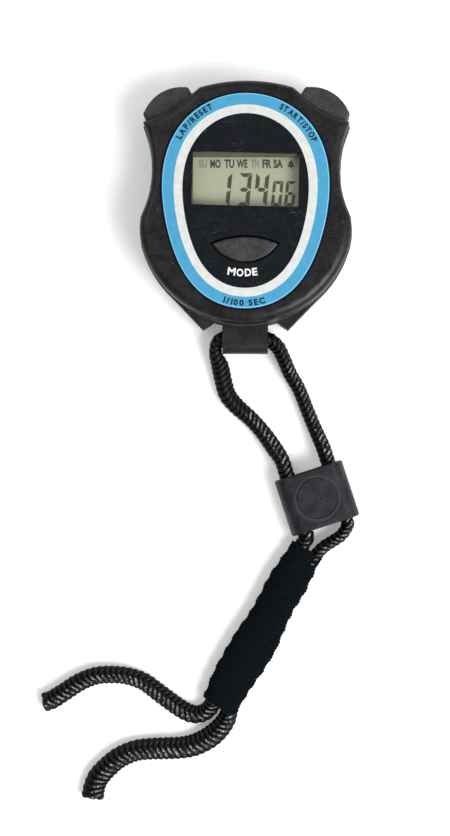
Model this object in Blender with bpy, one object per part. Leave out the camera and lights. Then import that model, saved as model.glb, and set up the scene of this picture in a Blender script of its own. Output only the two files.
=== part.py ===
"""Digital stopwatch on a braided lanyard, lying on its back.

The display faces +Z, the two top buttons are towards +Y and the cord lug is
towards -Y. The origin is under the middle of the case, on the surface that
the case rests on. Everything is in metres.
"""

import math

import bmesh
import bpy
from mathutils import Matrix, Vector

# Case outline, seen from the front. The round lower part is an arc about the origin.
CREST_TOP = 0.0386
CREST_RADIUS = 0.048
CREST_HALF = 0.0134
NOTCH_X = 0.0154
NOTCH_Y = 0.0350
SEAT_END_X = 0.0283
SEAT_END_Y = 0.0271
SEAT_BOW = 0.0011
HORN_X = 0.0295
HORN_Y = 0.0261
HORN_ROUND = 0.0004
WAIST_X = 0.0269
WAIST_Y = 0.0130
DIAL_RADIUS = 0.0309
HIP_INSET = 0.0009
HIP_Y = -0.0004
HIP_BOW = 0.0004
HIP_END_Y = -0.0085

# Case thickness, walls and edges.
CASE_DEPTH = 0.0174
PART_LINE = 0.0100
WALL = 0.0018
FRONT_PLATE = 0.0024
REAR_PLATE = 0.0018
FRONT_ROUND = 0.0025
REAR_ROUND = 0.0038
FRONT_STEP = 0.00035
PART_CHAMFER = 0.0003
SEAT_GAP = 0.0003

# Lug and the two shoulders beside it.
LUG_REACH = 0.0384
LUG_HALF = 0.0065
LUG_DEPTH = 0.0075
LUG_ROUND = 0.0024
LUG_WALL = 0.0016
LUG_FLARE = 0.0008
SHOULDER_HALF = 0.0122
SHOULDER_RISE = 0.0031
SHOULDER_NOTCH = 0.0021
SHOULDER_HOOK = 0.0014
SHOULDER_TAPER = 0.0006

# Egg-shaped lens. The last three numbers of its outline make the upper half the fuller one.
LENS_WIDTH = 0.0470
LENS_TOP = 0.0343
LENS_BOTTOM = 0.0268
LENS_LEAN = 0.122
LENS_FULLNESS = 0.112
LENS_TAPER = 0.080
LENS_THICK = 0.0015
LENS_RAISE = 0.0006
LENS_BEVEL = 0.00035

# Display.
WINDOW_WIDTH = 0.0298
WINDOW_HEIGHT = 0.0142
WINDOW_Y = 0.0095
WINDOW_DEPTH = 0.0040
GLASS_WIDTH = 0.0340
GLASS_HEIGHT = 0.0212
GLASS_THICK = 0.0015
COLLAR_WALL = 0.0012
FRAME_WALL = 0.0013
FRAME_LIP = 0.0004
REFLECTOR_THICK = 0.00025
ZEBRA_WIDTH = 0.0018

# Circuit board and what it carries.
BOARD_THICK = 0.0012
BOARD_TOP_Y = 0.0290
BOARD_BOTTOM_Y = 0.0220
BOARD_GAP = 0.0006
CHIP_RADIUS = 0.0045
CHIP_HEIGHT = 0.0015
QUARTZ_RADIUS = 0.00105
QUARTZ_LENGTH = 0.0062

# Mode key, a half-moon between a shallow arc above and a deep one below.
MODE_HALF = 0.0099
MODE_Y = -0.0082
MODE_RISE = 0.0022
MODE_DROP = 0.0057
MODE_GAP = 0.00035
MODE_SINK = 0.0002
MODE_FLANGE = 0.0010
DOME_RADIUS = 0.0042
DOME_TOP_RADIUS = 0.0026

# Top buttons. Each slides into a pocket behind its seat.
CAP_WIDTH = 0.0149
CAP_END = 0.0024
CAP_PEAK = 0.0049
CAP_CORNER = 0.0009
CAP_TOP = 0.0140
CAP_BOTTOM = 0.0036
CAP_ROUND = 0.0009
CAP_INNER = 0.0006
CAP_CLEAR = 0.00035
HORN_WALL = 0.0010
CREST_CLEAR = 0.0005
PRESS = 0.0012
STEM_WIDTH = 0.0052
STEM_HEIGHT = 0.0036
STEM_TAIL = 0.0012
FLANGE_THICK = 0.0010
SWITCH_WIDTH = 0.0060
SWITCH_HEIGHT = 0.0042
SWITCH_LENGTH = 0.0046
PLUNGER_RADIUS = 0.0012
PLUNGER_ROOT = 0.0014

# Case and board screws.
BOSS_RADIUS = 0.0032
UPPER_BOSS_Y = 0.0166
LOWER_BOSS_ANGLE = math.radians(-43)
SCREW_RADIUS = 0.0011
SCREW_HEAD_RADIUS = 0.0022
SCREW_HEAD = 0.0015
SCREW_SEAT = 0.0042
SCREW_CLEAR = 0.0003
BOARD_BOSS_RADIUS = 0.0022
BOARD_SCREW_RADIUS = 0.0008
BOARD_SCREW_HEAD_RADIUS = 0.0017
BOARD_SCREW_HEAD = 0.0012
BOARD_SCREW_X = 0.0146
BOARD_SCREW_Y = -0.0085
BOARD_SCREW_TOP_Y = 0.0252

# Button cell, its contacts and its door in the back.
CELL_RADIUS = 0.0058
CELL_HEIGHT = 0.0054
CELL_Y = 0.0150
POCKET_CLEAR = 0.00035
POCKET_WALL = 0.0012
DOOR_THICK = 0.0016
DOOR_HALF = 0.0082
DOOR_END = 0.0095
DOOR_TAIL = 0.0128
DOOR_CORNER = 0.0030
DOOR_CLEAR = 0.0003
DOOR_PAD = 0.0014
DOOR_SCREW_EDGE = 0.0026
GRIP_START = 0.0035
GRIP_PITCH = 0.0016
GRIP_WIDTH = 0.0007
STRIP_THICK = 0.0003
STRIP_HALF = 0.0018
STRIP_FOOT = 0.0032

# Sounder on the floor of the rear shell.
PIEZO_RADIUS = 0.0100
PIEZO_THICK = 0.0005
PIEZO_Y = -0.0090
SPRING_RADIUS = 0.0017
SPRING_WIRE = 0.00025
SPRING_TURNS = 4

# Lanyard: cord, slider and knitted sleeve.
CORD_RADIUS = 0.0022
CORD_CLEAR = 0.0003
CORD_LIFT = 0.00015
SLIDER_WIDTH = 0.0203
SLIDER_LENGTH = 0.0166
SLIDER_THICK = 0.0084
SLIDER_SIDE = 0.0036
SLIDER_EDGE = 0.0004
SLIDER_X = 0.0208
SLIDER_Y = -0.0796
SLIDER_TURN = math.radians(18.4)
BORE_SPACING = 0.0124
RING_RADIUS = 0.0070
RING_WIDTH = 0.0004
INNER_RING_RADIUS = 0.0059
RING_DEPTH = 0.00025
STRAND_GAP = 0.0004
SLEEVE_WALL = 0.0008

# Levels that follow from the sizes above.
LENS_FACE = CASE_DEPTH + LENS_RAISE
LENS_BACK = LENS_FACE - LENS_THICK
LEDGE = LENS_BACK - SEAT_GAP
PLATE_UNDER = CASE_DEPTH - FRONT_PLATE
FRONT_BASE = PART_LINE + SEAT_GAP / 2
REAR_RIM = PART_LINE - SEAT_GAP / 2
GLASS_FACE = LENS_FACE - WINDOW_DEPTH
GLASS_BACK = GLASS_FACE - GLASS_THICK
ZEBRA_TOP = GLASS_BACK - SEAT_GAP
DOOR_BACK = 0.0002
DOOR_FACE = DOOR_BACK + DOOR_THICK
DOOR_SEAT = DOOR_FACE + SEAT_GAP
CELL_BACK = DOOR_FACE + SEAT_GAP
CELL_FACE = CELL_BACK + CELL_HEIGHT
UNDER_BOARD = CELL_FACE + 2 * SEAT_GAP
BOARD_BACK = UNDER_BOARD + SEAT_GAP
BOARD_FACE = BOARD_BACK + BOARD_THICK
ZEBRA_BASE = BOARD_FACE + SEAT_GAP
STEM_LEVEL = UNDER_BOARD - SWITCH_HEIGHT / 2
LUG_BORE = CORD_RADIUS + 2 * CORD_CLEAR
LUG_BORE_Y = LUG_WALL + LUG_BORE - LUG_REACH
LUG_FACE = REAR_RIM - CORD_LIFT
LUG_LEVEL = LUG_FACE - LUG_DEPTH / 2
SLIDER_BORE = CORD_RADIUS + CORD_CLEAR
SLEEVE_HALF_INNER = STRAND_GAP / 2 + 2 * CORD_RADIUS + CORD_CLEAR
SLEEVE_RISE_INNER = CORD_RADIUS + CORD_CLEAR
SLEEVE_LEVEL = SLEEVE_RISE_INNER + SLEEVE_WALL + CORD_LIFT
CORD_LEVEL = CORD_RADIUS + CORD_LIFT

# Behind a seat the pocket, its wall and the button's own faces lie one after
# the other, counted inwards from the chord of the seat.
POCKET_BACK = SEAT_BOW + CAP_INNER + PRESS + CAP_CLEAR
SEAT_WALL_BACK = POCKET_BACK + WALL
CAP_BACK = SEAT_BOW + CAP_INNER
FLANGE_FACE = SEAT_WALL_BACK + SEAT_GAP
FLANGE_BACK = FLANGE_FACE + FLANGE_THICK
STEM_TIP = FLANGE_BACK + STEM_TAIL
PLUNGER_TIP = STEM_TIP + SEAT_GAP
SWITCH_FACE = PLUNGER_TIP + PRESS + CAP_CLEAR
SWITCH_BACK = SWITCH_FACE + SWITCH_LENGTH
PLUNGER_LENGTH = SWITCH_FACE - PLUNGER_TIP + PLUNGER_ROOT

ROUND = 32
SAME_POINT = 0.000001


def remove_everything():
    for item in list(bpy.data.objects):
        bpy.data.objects.remove(item, do_unlink=True)


def material(name, colour, roughness, metallic=0.0, alpha=1.0):
    made = bpy.data.materials.new(name)
    made.use_nodes = True
    shader = made.node_tree.nodes["Principled BSDF"]
    shader.inputs["Base Color"].default_value = (*colour, 1.0)
    shader.inputs["Roughness"].default_value = roughness
    shader.inputs["Metallic"].default_value = metallic
    shader.inputs["Alpha"].default_value = alpha
    return made


def arc_between(start, end, bow, steps):
    """Points from start to end on the arc that stands bow to the left of the chord."""
    a = Vector(start)
    b = Vector(end)
    half = (b - a).length / 2
    along = (b - a).normalized()
    left = Vector((-along.y, along.x))
    radius = (half * half + bow * bow) / (2 * abs(bow))
    sweep = 2 * math.atan2(abs(bow), half)
    points = []
    for step in range(steps + 1):
        angle = sweep * (2 * step / steps - 1)
        rise = radius * (math.cos(angle) - math.cos(sweep))
        side = left * math.copysign(rise, bow)
        points.append((a + b) / 2 + along * (radius * math.sin(angle)) + side)
    return points


def bezier(p0, p1, p2, p3, steps):
    p0, p1, p2, p3 = Vector(p0), Vector(p1), Vector(p2), Vector(p3)
    points = []
    for step in range(steps + 1):
        t = step / steps
        u = 1 - t
        points.append(p0 * u**3 + p1 * (3 * u * u * t) + p2 * (3 * u * t * t) + p3 * t**3)
    return points


def case_outline():
    """The case seen from the front, anticlockwise from the top of the crest."""
    crest_sweep = math.asin(CREST_HALF / CREST_RADIUS)
    half = []
    for step in range(6):
        angle = crest_sweep * step / 5
        fall = CREST_RADIUS * (1 - math.cos(angle))
        half.append(Vector((CREST_RADIUS * math.sin(angle), CREST_TOP - fall)))
    half += arc_between((NOTCH_X, NOTCH_Y), (SEAT_END_X, SEAT_END_Y), -SEAT_BOW, 5)
    half += arc_between((SEAT_END_X, SEAT_END_Y), (HORN_X, HORN_Y), HORN_ROUND, 3)[1:]
    waist = Vector((WAIST_X, WAIST_Y))
    hip = Vector((DIAL_RADIUS - HIP_INSET, HIP_Y))
    hip_end = Vector((math.sqrt(DIAL_RADIUS**2 - HIP_END_Y**2), HIP_END_Y))
    flank = (HORN_Y - WAIST_Y) / 2
    loin = (WAIST_Y - HIP_Y) / 2
    horn = Vector((HORN_X, HORN_Y))
    upper = bezier(horn, horn - Vector((flank * 0.18, flank / 2)), waist + Vector((0, flank)), waist, 5)
    lower = bezier(waist, waist - Vector((0, loin)), hip + Vector((-loin * 0.2, loin / 2)), hip, 6)
    half += upper[1:] + lower[1:] + arc_between(hip, hip_end, HIP_BOW, 3)[1:]
    start = math.asin(HIP_END_Y / DIAL_RADIUS)
    for step in range(1, 15):
        angle = start + (-math.pi / 2 - start) * step / 14
        half.append(Vector((DIAL_RADIUS * math.cos(angle), DIAL_RADIUS * math.sin(angle))))
    left = [Vector((-p.x, p.y)) for p in half[1:-1]]
    return left + [half[-1]] + half[-2:0:-1] + [half[0]]


def egg_outline(steps=64):
    """The lens seen from the front: an egg, fuller above and narrower towards its lower end."""
    middle = (LENS_TOP - LENS_BOTTOM) / 2
    rise = (LENS_TOP + LENS_BOTTOM) / 2
    points = []
    for step in range(steps):
        angle = 2 * math.pi * step / steps
        height = math.sin(angle)
        fullness = 1 + LENS_LEAN * height + LENS_FULLNESS * height**2 - LENS_TAPER * height**3
        points.append(Vector((LENS_WIDTH / 2 * math.cos(angle) * fullness, middle + rise * height)))
    return points


def half_moon_outline():
    left = (-MODE_HALF, MODE_Y)
    right = (MODE_HALF, MODE_Y)
    below = arc_between(left, right, -MODE_DROP, 14)
    above = arc_between(right, left, -MODE_RISE, 8)
    return below[:-1] + above[:-1]


def rounded_rectangle(x0, x1, y0, y1, radius, steps=4):
    points = []
    for cx, cy, start in ((x1, y1, 0), (x0, y1, 90), (x0, y0, 180), (x1, y0, 270)):
        for step in range(steps + 1):
            angle = math.radians(start + 90 * step / steps)
            x = math.copysign(radius, x0 + x1 - 2 * cx) + radius * math.cos(angle)
            y = math.copysign(radius, y0 + y1 - 2 * cy) + radius * math.sin(angle)
            points.append(Vector((cx + x, cy + y)))
    return points


def circle(x, y, radius, steps=ROUND):
    angles = [2 * math.pi * step / steps for step in range(steps)]
    return [Vector((x + radius * math.cos(a), y + radius * math.sin(a))) for a in angles]


def inset(outline, distance):
    """The anticlockwise outline drawn in by distance, or let out where it is negative.

    Each point keeps its number. An edge that would turn over is drawn together to a point.
    """
    count = len(outline)
    ways = [(outline[(i + 1) % count] - outline[i]).normalized() for i in range(count)]

    def corner(first, second):
        n1 = Vector((-ways[first].y, ways[first].x))
        n2 = Vector((-ways[second].y, ways[second].x))
        if (first + 1) % count == second:
            return outline[second] + (n1 + n2) * (distance / (1 + n1.dot(n2)))
        a = outline[first] + n1 * distance
        b = outline[second] + n2 * distance
        return a + ways[first] * ((b - a).cross(ways[second]) / ways[first].cross(ways[second]))

    kept = list(range(count))
    while True:
        corners = {edge: corner(kept[k - 1], edge) for k, edge in enumerate(kept)}
        ends = kept[1:] + kept[:1]
        runs = [((corners[end] - corners[edge]).dot(ways[edge]), edge) for edge, end in zip(kept, ends)]
        shortest, edge = min(runs)
        if shortest > 0:
            break
        kept.remove(edge)
    moved = []
    for i in range(count):
        while i not in corners:
            i = (i + 1) % count
        moved.append(corners[i])
    return moved


def level(outline, z):
    return [Vector((p.x, p.y, z)) for p in outline]


def add_loft(bm, rings, closed=False):
    """Walls between rings of equal count, capped at both ends unless the rings close on themselves."""
    rows = [[bm.verts.new(p) for p in ring] for ring in rings]
    pairs = list(zip(rows, rows[1:]))
    if closed:
        pairs.append((rows[-1], rows[0]))
    else:
        bm.faces.new(list(reversed(rows[0])))
        bm.faces.new(rows[-1])
    for low, high in pairs:
        for i in range(len(low)):
            j = (i + 1) % len(low)
            bm.faces.new((low[i], low[j], high[j], high[i]))


def add_prism(bm, outline, z0, z1):
    add_loft(bm, [level(outline, z0), level(outline, z1)])


def add_turned(bm, x, y, profile, steps=ROUND):
    """A turned solid on a vertical axis. The profile is a list of (radius, height)."""
    add_loft(bm, [level(circle(x, y, r, steps), z) for r, z in profile])


def add_bar(bm, profile, x0, x1):
    """A (y, z) profile drawn along X."""
    add_loft(bm, [[Vector((x, y, z)) for y, z in profile] for x in (x0, x1)])


def mesh_of(name, bm):
    bmesh.ops.remove_doubles(bm, verts=bm.verts, dist=SAME_POINT)
    bmesh.ops.recalc_face_normals(bm, faces=bm.faces)
    mesh = bpy.data.meshes.new(name)
    bm.to_mesh(mesh)
    bm.free()
    return mesh


def place(name, data, finish=None, parent=None, location=(0, 0, 0)):
    made = bpy.data.objects.new(name, data)
    bpy.context.scene.collection.objects.link(made)
    made.parent = parent
    made.location = location
    if finish is not None:
        data.materials.append(finish)
    if isinstance(data, bpy.types.Mesh):
        data.shade_smooth()
        data.set_sharp_from_angle(angle=math.radians(32))
    return made


def guide(name, bm, parent=None, location=(0, 0, 0)):
    """A solid that only cuts or joins, kept out of renders."""
    made = place(name, mesh_of(name, bm), None, parent, location)
    made.hide_render = True
    made.display_type = "WIRE"
    return made


def boolean(target, operation, *others):
    for other in others:
        modifier = target.modifiers.new(other.name, "BOOLEAN")
        modifier.operation = operation
        modifier.solver = "EXACT"
        modifier.object = other


def empty(name, location, turn=0.0, parent=None):
    made = bpy.data.objects.new(name, None)
    bpy.context.scene.collection.objects.link(made)
    made.location = location
    made.rotation_euler = (0, 0, turn)
    made.parent = parent
    return made


def case_boss_places():
    upper_x = WAIST_X - WALL - BOSS_RADIUS + PART_CHAMFER
    reach = DIAL_RADIUS - WALL - BOSS_RADIUS + PART_CHAMFER
    lower = Vector((reach * math.cos(LOWER_BOSS_ANGLE), reach * math.sin(LOWER_BOSS_ANGLE)))
    return [
        Vector((upper_x, UPPER_BOSS_Y)),
        Vector((-upper_x, UPPER_BOSS_Y)),
        Vector((-lower.x, lower.y)),
        lower,
    ]


def board_screw_places():
    return [
        Vector((BOARD_SCREW_X, BOARD_SCREW_Y)),
        Vector((-BOARD_SCREW_X, BOARD_SCREW_Y)),
        Vector((0, BOARD_SCREW_TOP_Y)),
    ]


def seat_frame(side):
    """Middle of a button's seat, and the turn that brings local +Y to its outward direction."""
    notch = Vector((NOTCH_X, NOTCH_Y))
    chord = Vector((SEAT_END_X, SEAT_END_Y)) - notch
    along = chord.normalized()
    middle = notch + chord / 2
    turn = math.atan2(along.y, along.x)
    return Vector((side * middle.x, middle.y, 0)), side * turn


def front_shell(finish, case, seats):
    outline = case_outline()
    rings = [level(inset(outline, FRONT_STEP), FRONT_BASE)]
    for step in range(5):
        angle = math.pi / 2 * step / 4
        drawn = FRONT_STEP + FRONT_ROUND * (1 - math.cos(angle))
        fall = FRONT_ROUND * (1 - math.sin(angle))
        rings.append(level(inset(outline, drawn), CASE_DEPTH - fall))
    bm = bmesh.new()
    add_loft(bm, rings)
    shell = place("front_shell", mesh_of("front_shell", bm), finish, case)

    hollow = bmesh.new()
    add_prism(hollow, inset(outline, WALL + FRONT_STEP), FRONT_BASE - WALL, PLATE_UNDER)
    boolean(shell, "DIFFERENCE", guide("front_hollow", hollow, case))

    bosses = bmesh.new()
    top = PLATE_UNDER + SEAT_GAP
    for spot in case_boss_places():
        add_turned(bosses, spot.x, spot.y, [(BOSS_RADIUS, FRONT_BASE), (BOSS_RADIUS, top)], 20)
    for spot in board_screw_places():
        base = BOARD_FACE + SEAT_GAP
        add_turned(bosses, spot.x, spot.y, [(BOARD_BOSS_RADIUS, base), (BOARD_BOSS_RADIUS, top)], 20)
    boolean(shell, "UNION", guide("front_bosses", bosses, case))

    for side, seat in seats.items():
        wall = bmesh.new()
        low = FRONT_BASE
        high = PLATE_UNDER + SEAT_GAP
        profile = [(-SEAT_WALL_BACK, low), (-CAP_BACK, low), (-CAP_BACK, high), (-SEAT_WALL_BACK, high)]
        add_bar(wall, profile, *seat_wall_span(side))
        boolean(shell, "UNION", guide(f"front_seat_wall_{side}", wall, seat))
        boolean(shell, "DIFFERENCE", guide(f"front_seat_pocket_{side}", seat_pocket(side), seat))

    recess = bmesh.new()
    add_prism(recess, inset(egg_outline(), -SEAT_GAP), LEDGE, LENS_FACE)
    opening = bmesh.new()
    reach = COLLAR_WALL + SEAT_GAP
    window = rounded_rectangle(
        -WINDOW_WIDTH / 2 - reach,
        WINDOW_WIDTH / 2 + reach,
        WINDOW_Y - WINDOW_HEIGHT / 2 - reach,
        WINDOW_Y + WINDOW_HEIGHT / 2 + reach,
        COLLAR_WALL,
    )
    add_prism(opening, window, PLATE_UNDER - SEAT_GAP, LEDGE + SEAT_GAP)
    add_prism(opening, half_moon_outline(), PLATE_UNDER - SEAT_GAP, LEDGE + SEAT_GAP)
    boolean(shell, "DIFFERENCE", guide("lens_recess", recess, case), guide("face_openings", opening, case))

    holes = bmesh.new()
    for spot in case_boss_places():
        radius = SCREW_RADIUS + SCREW_CLEAR
        add_turned(holes, spot.x, spot.y, [(radius, FRONT_BASE - WALL), (radius, PLATE_UNDER - SEAT_GAP)], 20)
    for spot in board_screw_places():
        radius = BOARD_SCREW_RADIUS + SCREW_CLEAR
        add_turned(holes, spot.x, spot.y, [(radius, BOARD_BACK), (radius, PLATE_UNDER - SEAT_GAP)], 16)
    boolean(shell, "DIFFERENCE", guide("front_screw_holes", holes, case))
    return shell


def seat_wall_span(side):
    """Ends of the wall behind a seat. It is longer towards the crest than towards the horn."""
    horn_end = CAP_WIDTH / 2 + CAP_CLEAR + HORN_WALL
    crest_end = CAP_WIDTH / 2 + CAP_CLEAR + WALL
    return (-crest_end, horn_end) if side > 0 else (-horn_end, crest_end)


def seat_pocket(side):
    """The space behind a seat that the button moves in, open past the notch beside the crest."""
    horn_end = CAP_WIDTH / 2 + CAP_CLEAR
    crest_end = horn_end + CREST_CLEAR
    x0, x1 = (-crest_end, horn_end) if side > 0 else (-horn_end, crest_end)
    low = CAP_BOTTOM - CAP_CLEAR
    high = CAP_TOP + CAP_CLEAR
    bm = bmesh.new()
    reach = CAP_PEAK
    add_bar(bm, [(-POCKET_BACK, low), (reach, low), (reach, high), (-POCKET_BACK, high)], x0, x1)
    return bm


def rear_shell(finish, case, seats):
    outline = case_outline()
    rings = []
    for step in range(5):
        angle = math.pi / 2 * step / 4
        drawn = REAR_ROUND * (1 - math.sin(angle))
        rings.append(level(inset(outline, drawn), REAR_ROUND * (1 - math.cos(angle))))
    rings.append(level(outline, REAR_RIM - PART_CHAMFER))
    rings.append(level(inset(outline, PART_CHAMFER), REAR_RIM))
    bm = bmesh.new()
    add_loft(bm, rings)
    shell = place("rear_shell", mesh_of("rear_shell", bm), finish, case)

    shoulders = bmesh.new()
    corner_reach = DIAL_RADIUS + SHOULDER_RISE
    corner = Vector((SHOULDER_HALF, -math.sqrt(corner_reach**2 - SHOULDER_HALF**2)))
    lean = math.asin(SHOULDER_HALF / corner_reach) + math.acos(DIAL_RADIUS / corner_reach)
    tangent = Vector((math.sin(lean), -math.cos(lean))) * (DIAL_RADIUS - SEAT_GAP / 3)
    root = DIAL_RADIUS - WALL / 2
    root_x = LUG_HALF + WALL
    ledge = LUG_FACE - LUG_DEPTH
    for side in (1, -1):
        points = [
            tangent,
            tangent + Vector((-WALL, WALL / 2)),
            Vector((root_x, -math.sqrt(root**2 - root_x**2))),
            corner + Vector((-SHOULDER_NOTCH, SHOULDER_HOOK)),
            corner,
        ]
        outline_side = [Vector((side * p.x, p.y)) for p in points]
        if side < 0:
            outline_side.reverse()
        steps = [(SHOULDER_TAPER, ledge), (0, ledge + LUG_DEPTH / 5), (0, LUG_FACE)]
        add_loft(shoulders, [level(inset(outline_side, d), z) for d, z in steps])
    boolean(shell, "UNION", guide("shoulders", shoulders, case))

    lug = bmesh.new()
    low = LUG_FACE - LUG_DEPTH
    end = -LUG_REACH
    profile = [(-DIAL_RADIUS + WALL / 2, low)]
    for cz, start in ((low + LUG_ROUND, -90), (LUG_FACE - LUG_ROUND, -180)):
        for step in range(6):
            angle = math.radians(start - 90 * step / 5)
            y = end + LUG_ROUND + LUG_ROUND * math.cos(angle)
            profile.append((y, cz + LUG_ROUND * math.sin(angle)))
    profile.append((-DIAL_RADIUS + WALL / 2, LUG_FACE))
    add_bar(lug, profile, -LUG_HALF, LUG_HALF)
    boolean(shell, "UNION", guide("lug_block", lug, case))

    hollow = bmesh.new()
    add_prism(hollow, inset(outline, WALL), REAR_PLATE, FRONT_BASE + WALL)
    boolean(shell, "DIFFERENCE", guide("rear_hollow", hollow, case))

    bosses = bmesh.new()
    base = REAR_PLATE - SEAT_GAP
    for spot in case_boss_places():
        add_turned(bosses, spot.x, spot.y, [(BOSS_RADIUS, base), (BOSS_RADIUS, REAR_RIM)], 20)
    boolean(shell, "UNION", guide("rear_bosses", bosses, case))

    pad = bmesh.new()
    pad_top = DOOR_SEAT + DOOR_PAD
    add_prism(pad, door_outline(DOOR_PAD), REAR_PLATE - SEAT_GAP, pad_top)
    boolean(shell, "UNION", guide("door_pad", pad, case))
    pocket = bmesh.new()
    wall_radius = CELL_RADIUS + POCKET_CLEAR + POCKET_WALL
    base = pad_top - SEAT_GAP
    add_turned(pocket, 0, CELL_Y, [(wall_radius, base), (wall_radius, CELL_FACE - SEAT_GAP)])
    screw = door_screw_place()
    pilot_top = BOARD_BACK - BOARD_SCREW_HEAD - 3 * SEAT_GAP
    steps = [(BOARD_BOSS_RADIUS, base), (BOARD_BOSS_RADIUS, pilot_top)]
    add_turned(pocket, screw.x, screw.y, steps, 20)
    boolean(shell, "UNION", guide("cell_pocket_wall", pocket, case))

    for side, seat in seats.items():
        wall = bmesh.new()
        back = -SEAT_WALL_BACK
        foot = -POCKET_BACK + SEAT_GAP / 2
        low = REAR_PLATE / 2
        knee = REAR_ROUND * 0.66
        face = -CAP_BACK
        profile = [(back, low), (foot, low), (foot, knee), (face, knee), (face, REAR_RIM), (back, REAR_RIM)]
        add_bar(wall, profile, *seat_wall_span(side))
        boolean(shell, "UNION", guide(f"rear_seat_wall_{side}", wall, seat))
        boolean(shell, "DIFFERENCE", guide(f"rear_seat_pocket_{side}", seat_pocket(side), seat))
        slot = bmesh.new()
        low = STEM_LEVEL - STEM_HEIGHT / 2 - CAP_CLEAR
        half = STEM_WIDTH / 2 + CAP_CLEAR
        y0, y1 = -SEAT_WALL_BACK - WALL / 2, -POCKET_BACK + WALL / 2
        add_bar(slot, [(y0, low), (y1, low), (y1, FRONT_BASE), (y0, FRONT_BASE)], -half, half)
        boolean(shell, "DIFFERENCE", guide(f"stem_slot_{side}", slot, seat))

    recess = bmesh.new()
    add_prism(recess, door_outline(0), -REAR_PLATE, DOOR_SEAT)
    boolean(shell, "DIFFERENCE", guide("door_recess", recess, case))
    cavity = bmesh.new()
    cell_space = CELL_RADIUS + POCKET_CLEAR
    base = DOOR_SEAT - SEAT_GAP
    add_turned(cavity, 0, CELL_Y, [(cell_space, base), (cell_space, CELL_FACE + SEAT_GAP)])
    pilot = BOARD_SCREW_RADIUS + SCREW_CLEAR
    add_turned(cavity, screw.x, screw.y, [(pilot, base), (pilot, pilot_top - SEAT_GAP)], 16)
    boolean(shell, "DIFFERENCE", guide("cell_space", cavity, case))
    strip = bmesh.new()
    inner = CELL_RADIUS - STRIP_THICK
    low = DOOR_SEAT + SEAT_GAP
    y0 = CELL_Y - STRIP_HALF - SEAT_GAP
    y1 = CELL_Y + STRIP_HALF + SEAT_GAP
    profile = [(y0, low), (y1, low), (y1, CELL_FACE), (y0, CELL_FACE)]
    add_bar(strip, profile, inner, wall_radius + SEAT_GAP)
    boolean(shell, "DIFFERENCE", guide("strip_slot", strip, case))

    holes = bmesh.new()
    for spot in case_boss_places():
        hole = SCREW_RADIUS + SCREW_CLEAR
        head = SCREW_HEAD_RADIUS + SCREW_CLEAR
        steps = [(head, -REAR_PLATE), (head, SCREW_SEAT), (hole, SCREW_SEAT), (hole, FRONT_BASE)]
        add_turned(holes, spot.x, spot.y, steps, 20)
    boolean(shell, "DIFFERENCE", guide("rear_screw_holes", holes, case))

    bore = bmesh.new()
    flare = LUG_BORE + LUG_FLARE
    run = LUG_HALF + SEAT_GAP
    throat = LUG_HALF - 1.5 * LUG_FLARE
    rings = []
    for x, radius in ((-run, flare), (-throat, LUG_BORE), (throat, LUG_BORE), (run, flare)):
        rings.append([Vector((x, p.x, p.y)) for p in circle(LUG_BORE_Y, LUG_LEVEL, radius, 28)])
    add_loft(bore, rings)
    boolean(shell, "DIFFERENCE", guide("lug_bore", bore, case))
    return shell


def door_outline(grown):
    """Battery door opening in the back, let out by grown."""
    return rounded_rectangle(
        -DOOR_HALF - grown,
        DOOR_HALF + grown,
        CELL_Y - DOOR_END - grown,
        CELL_Y + DOOR_TAIL + grown,
        DOOR_CORNER + grown,
    )


def door_screw_place():
    return Vector((0, CELL_Y + DOOR_TAIL - DOOR_SCREW_EDGE))


def lens(finish, case):
    outline = egg_outline()
    bm = bmesh.new()
    rings = [(0, LENS_BACK), (0, LENS_FACE - LENS_BEVEL), (LENS_BEVEL, LENS_FACE)]
    add_loft(bm, [level(inset(outline, d), z) for d, z in rings])
    made = place("face_lens", mesh_of("face_lens", bm), finish, case)
    hole = bmesh.new()
    add_prism(hole, half_moon_outline(), LENS_BACK - SEAT_GAP, LENS_FACE + SEAT_GAP)
    boolean(made, "DIFFERENCE", guide("lens_mode_hole", hole, case))


def centred(width, height, grown=0.0):
    x = width / 2 + grown
    y = height / 2 + grown
    return -x, x, WINDOW_Y - y, WINDOW_Y + y


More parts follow.
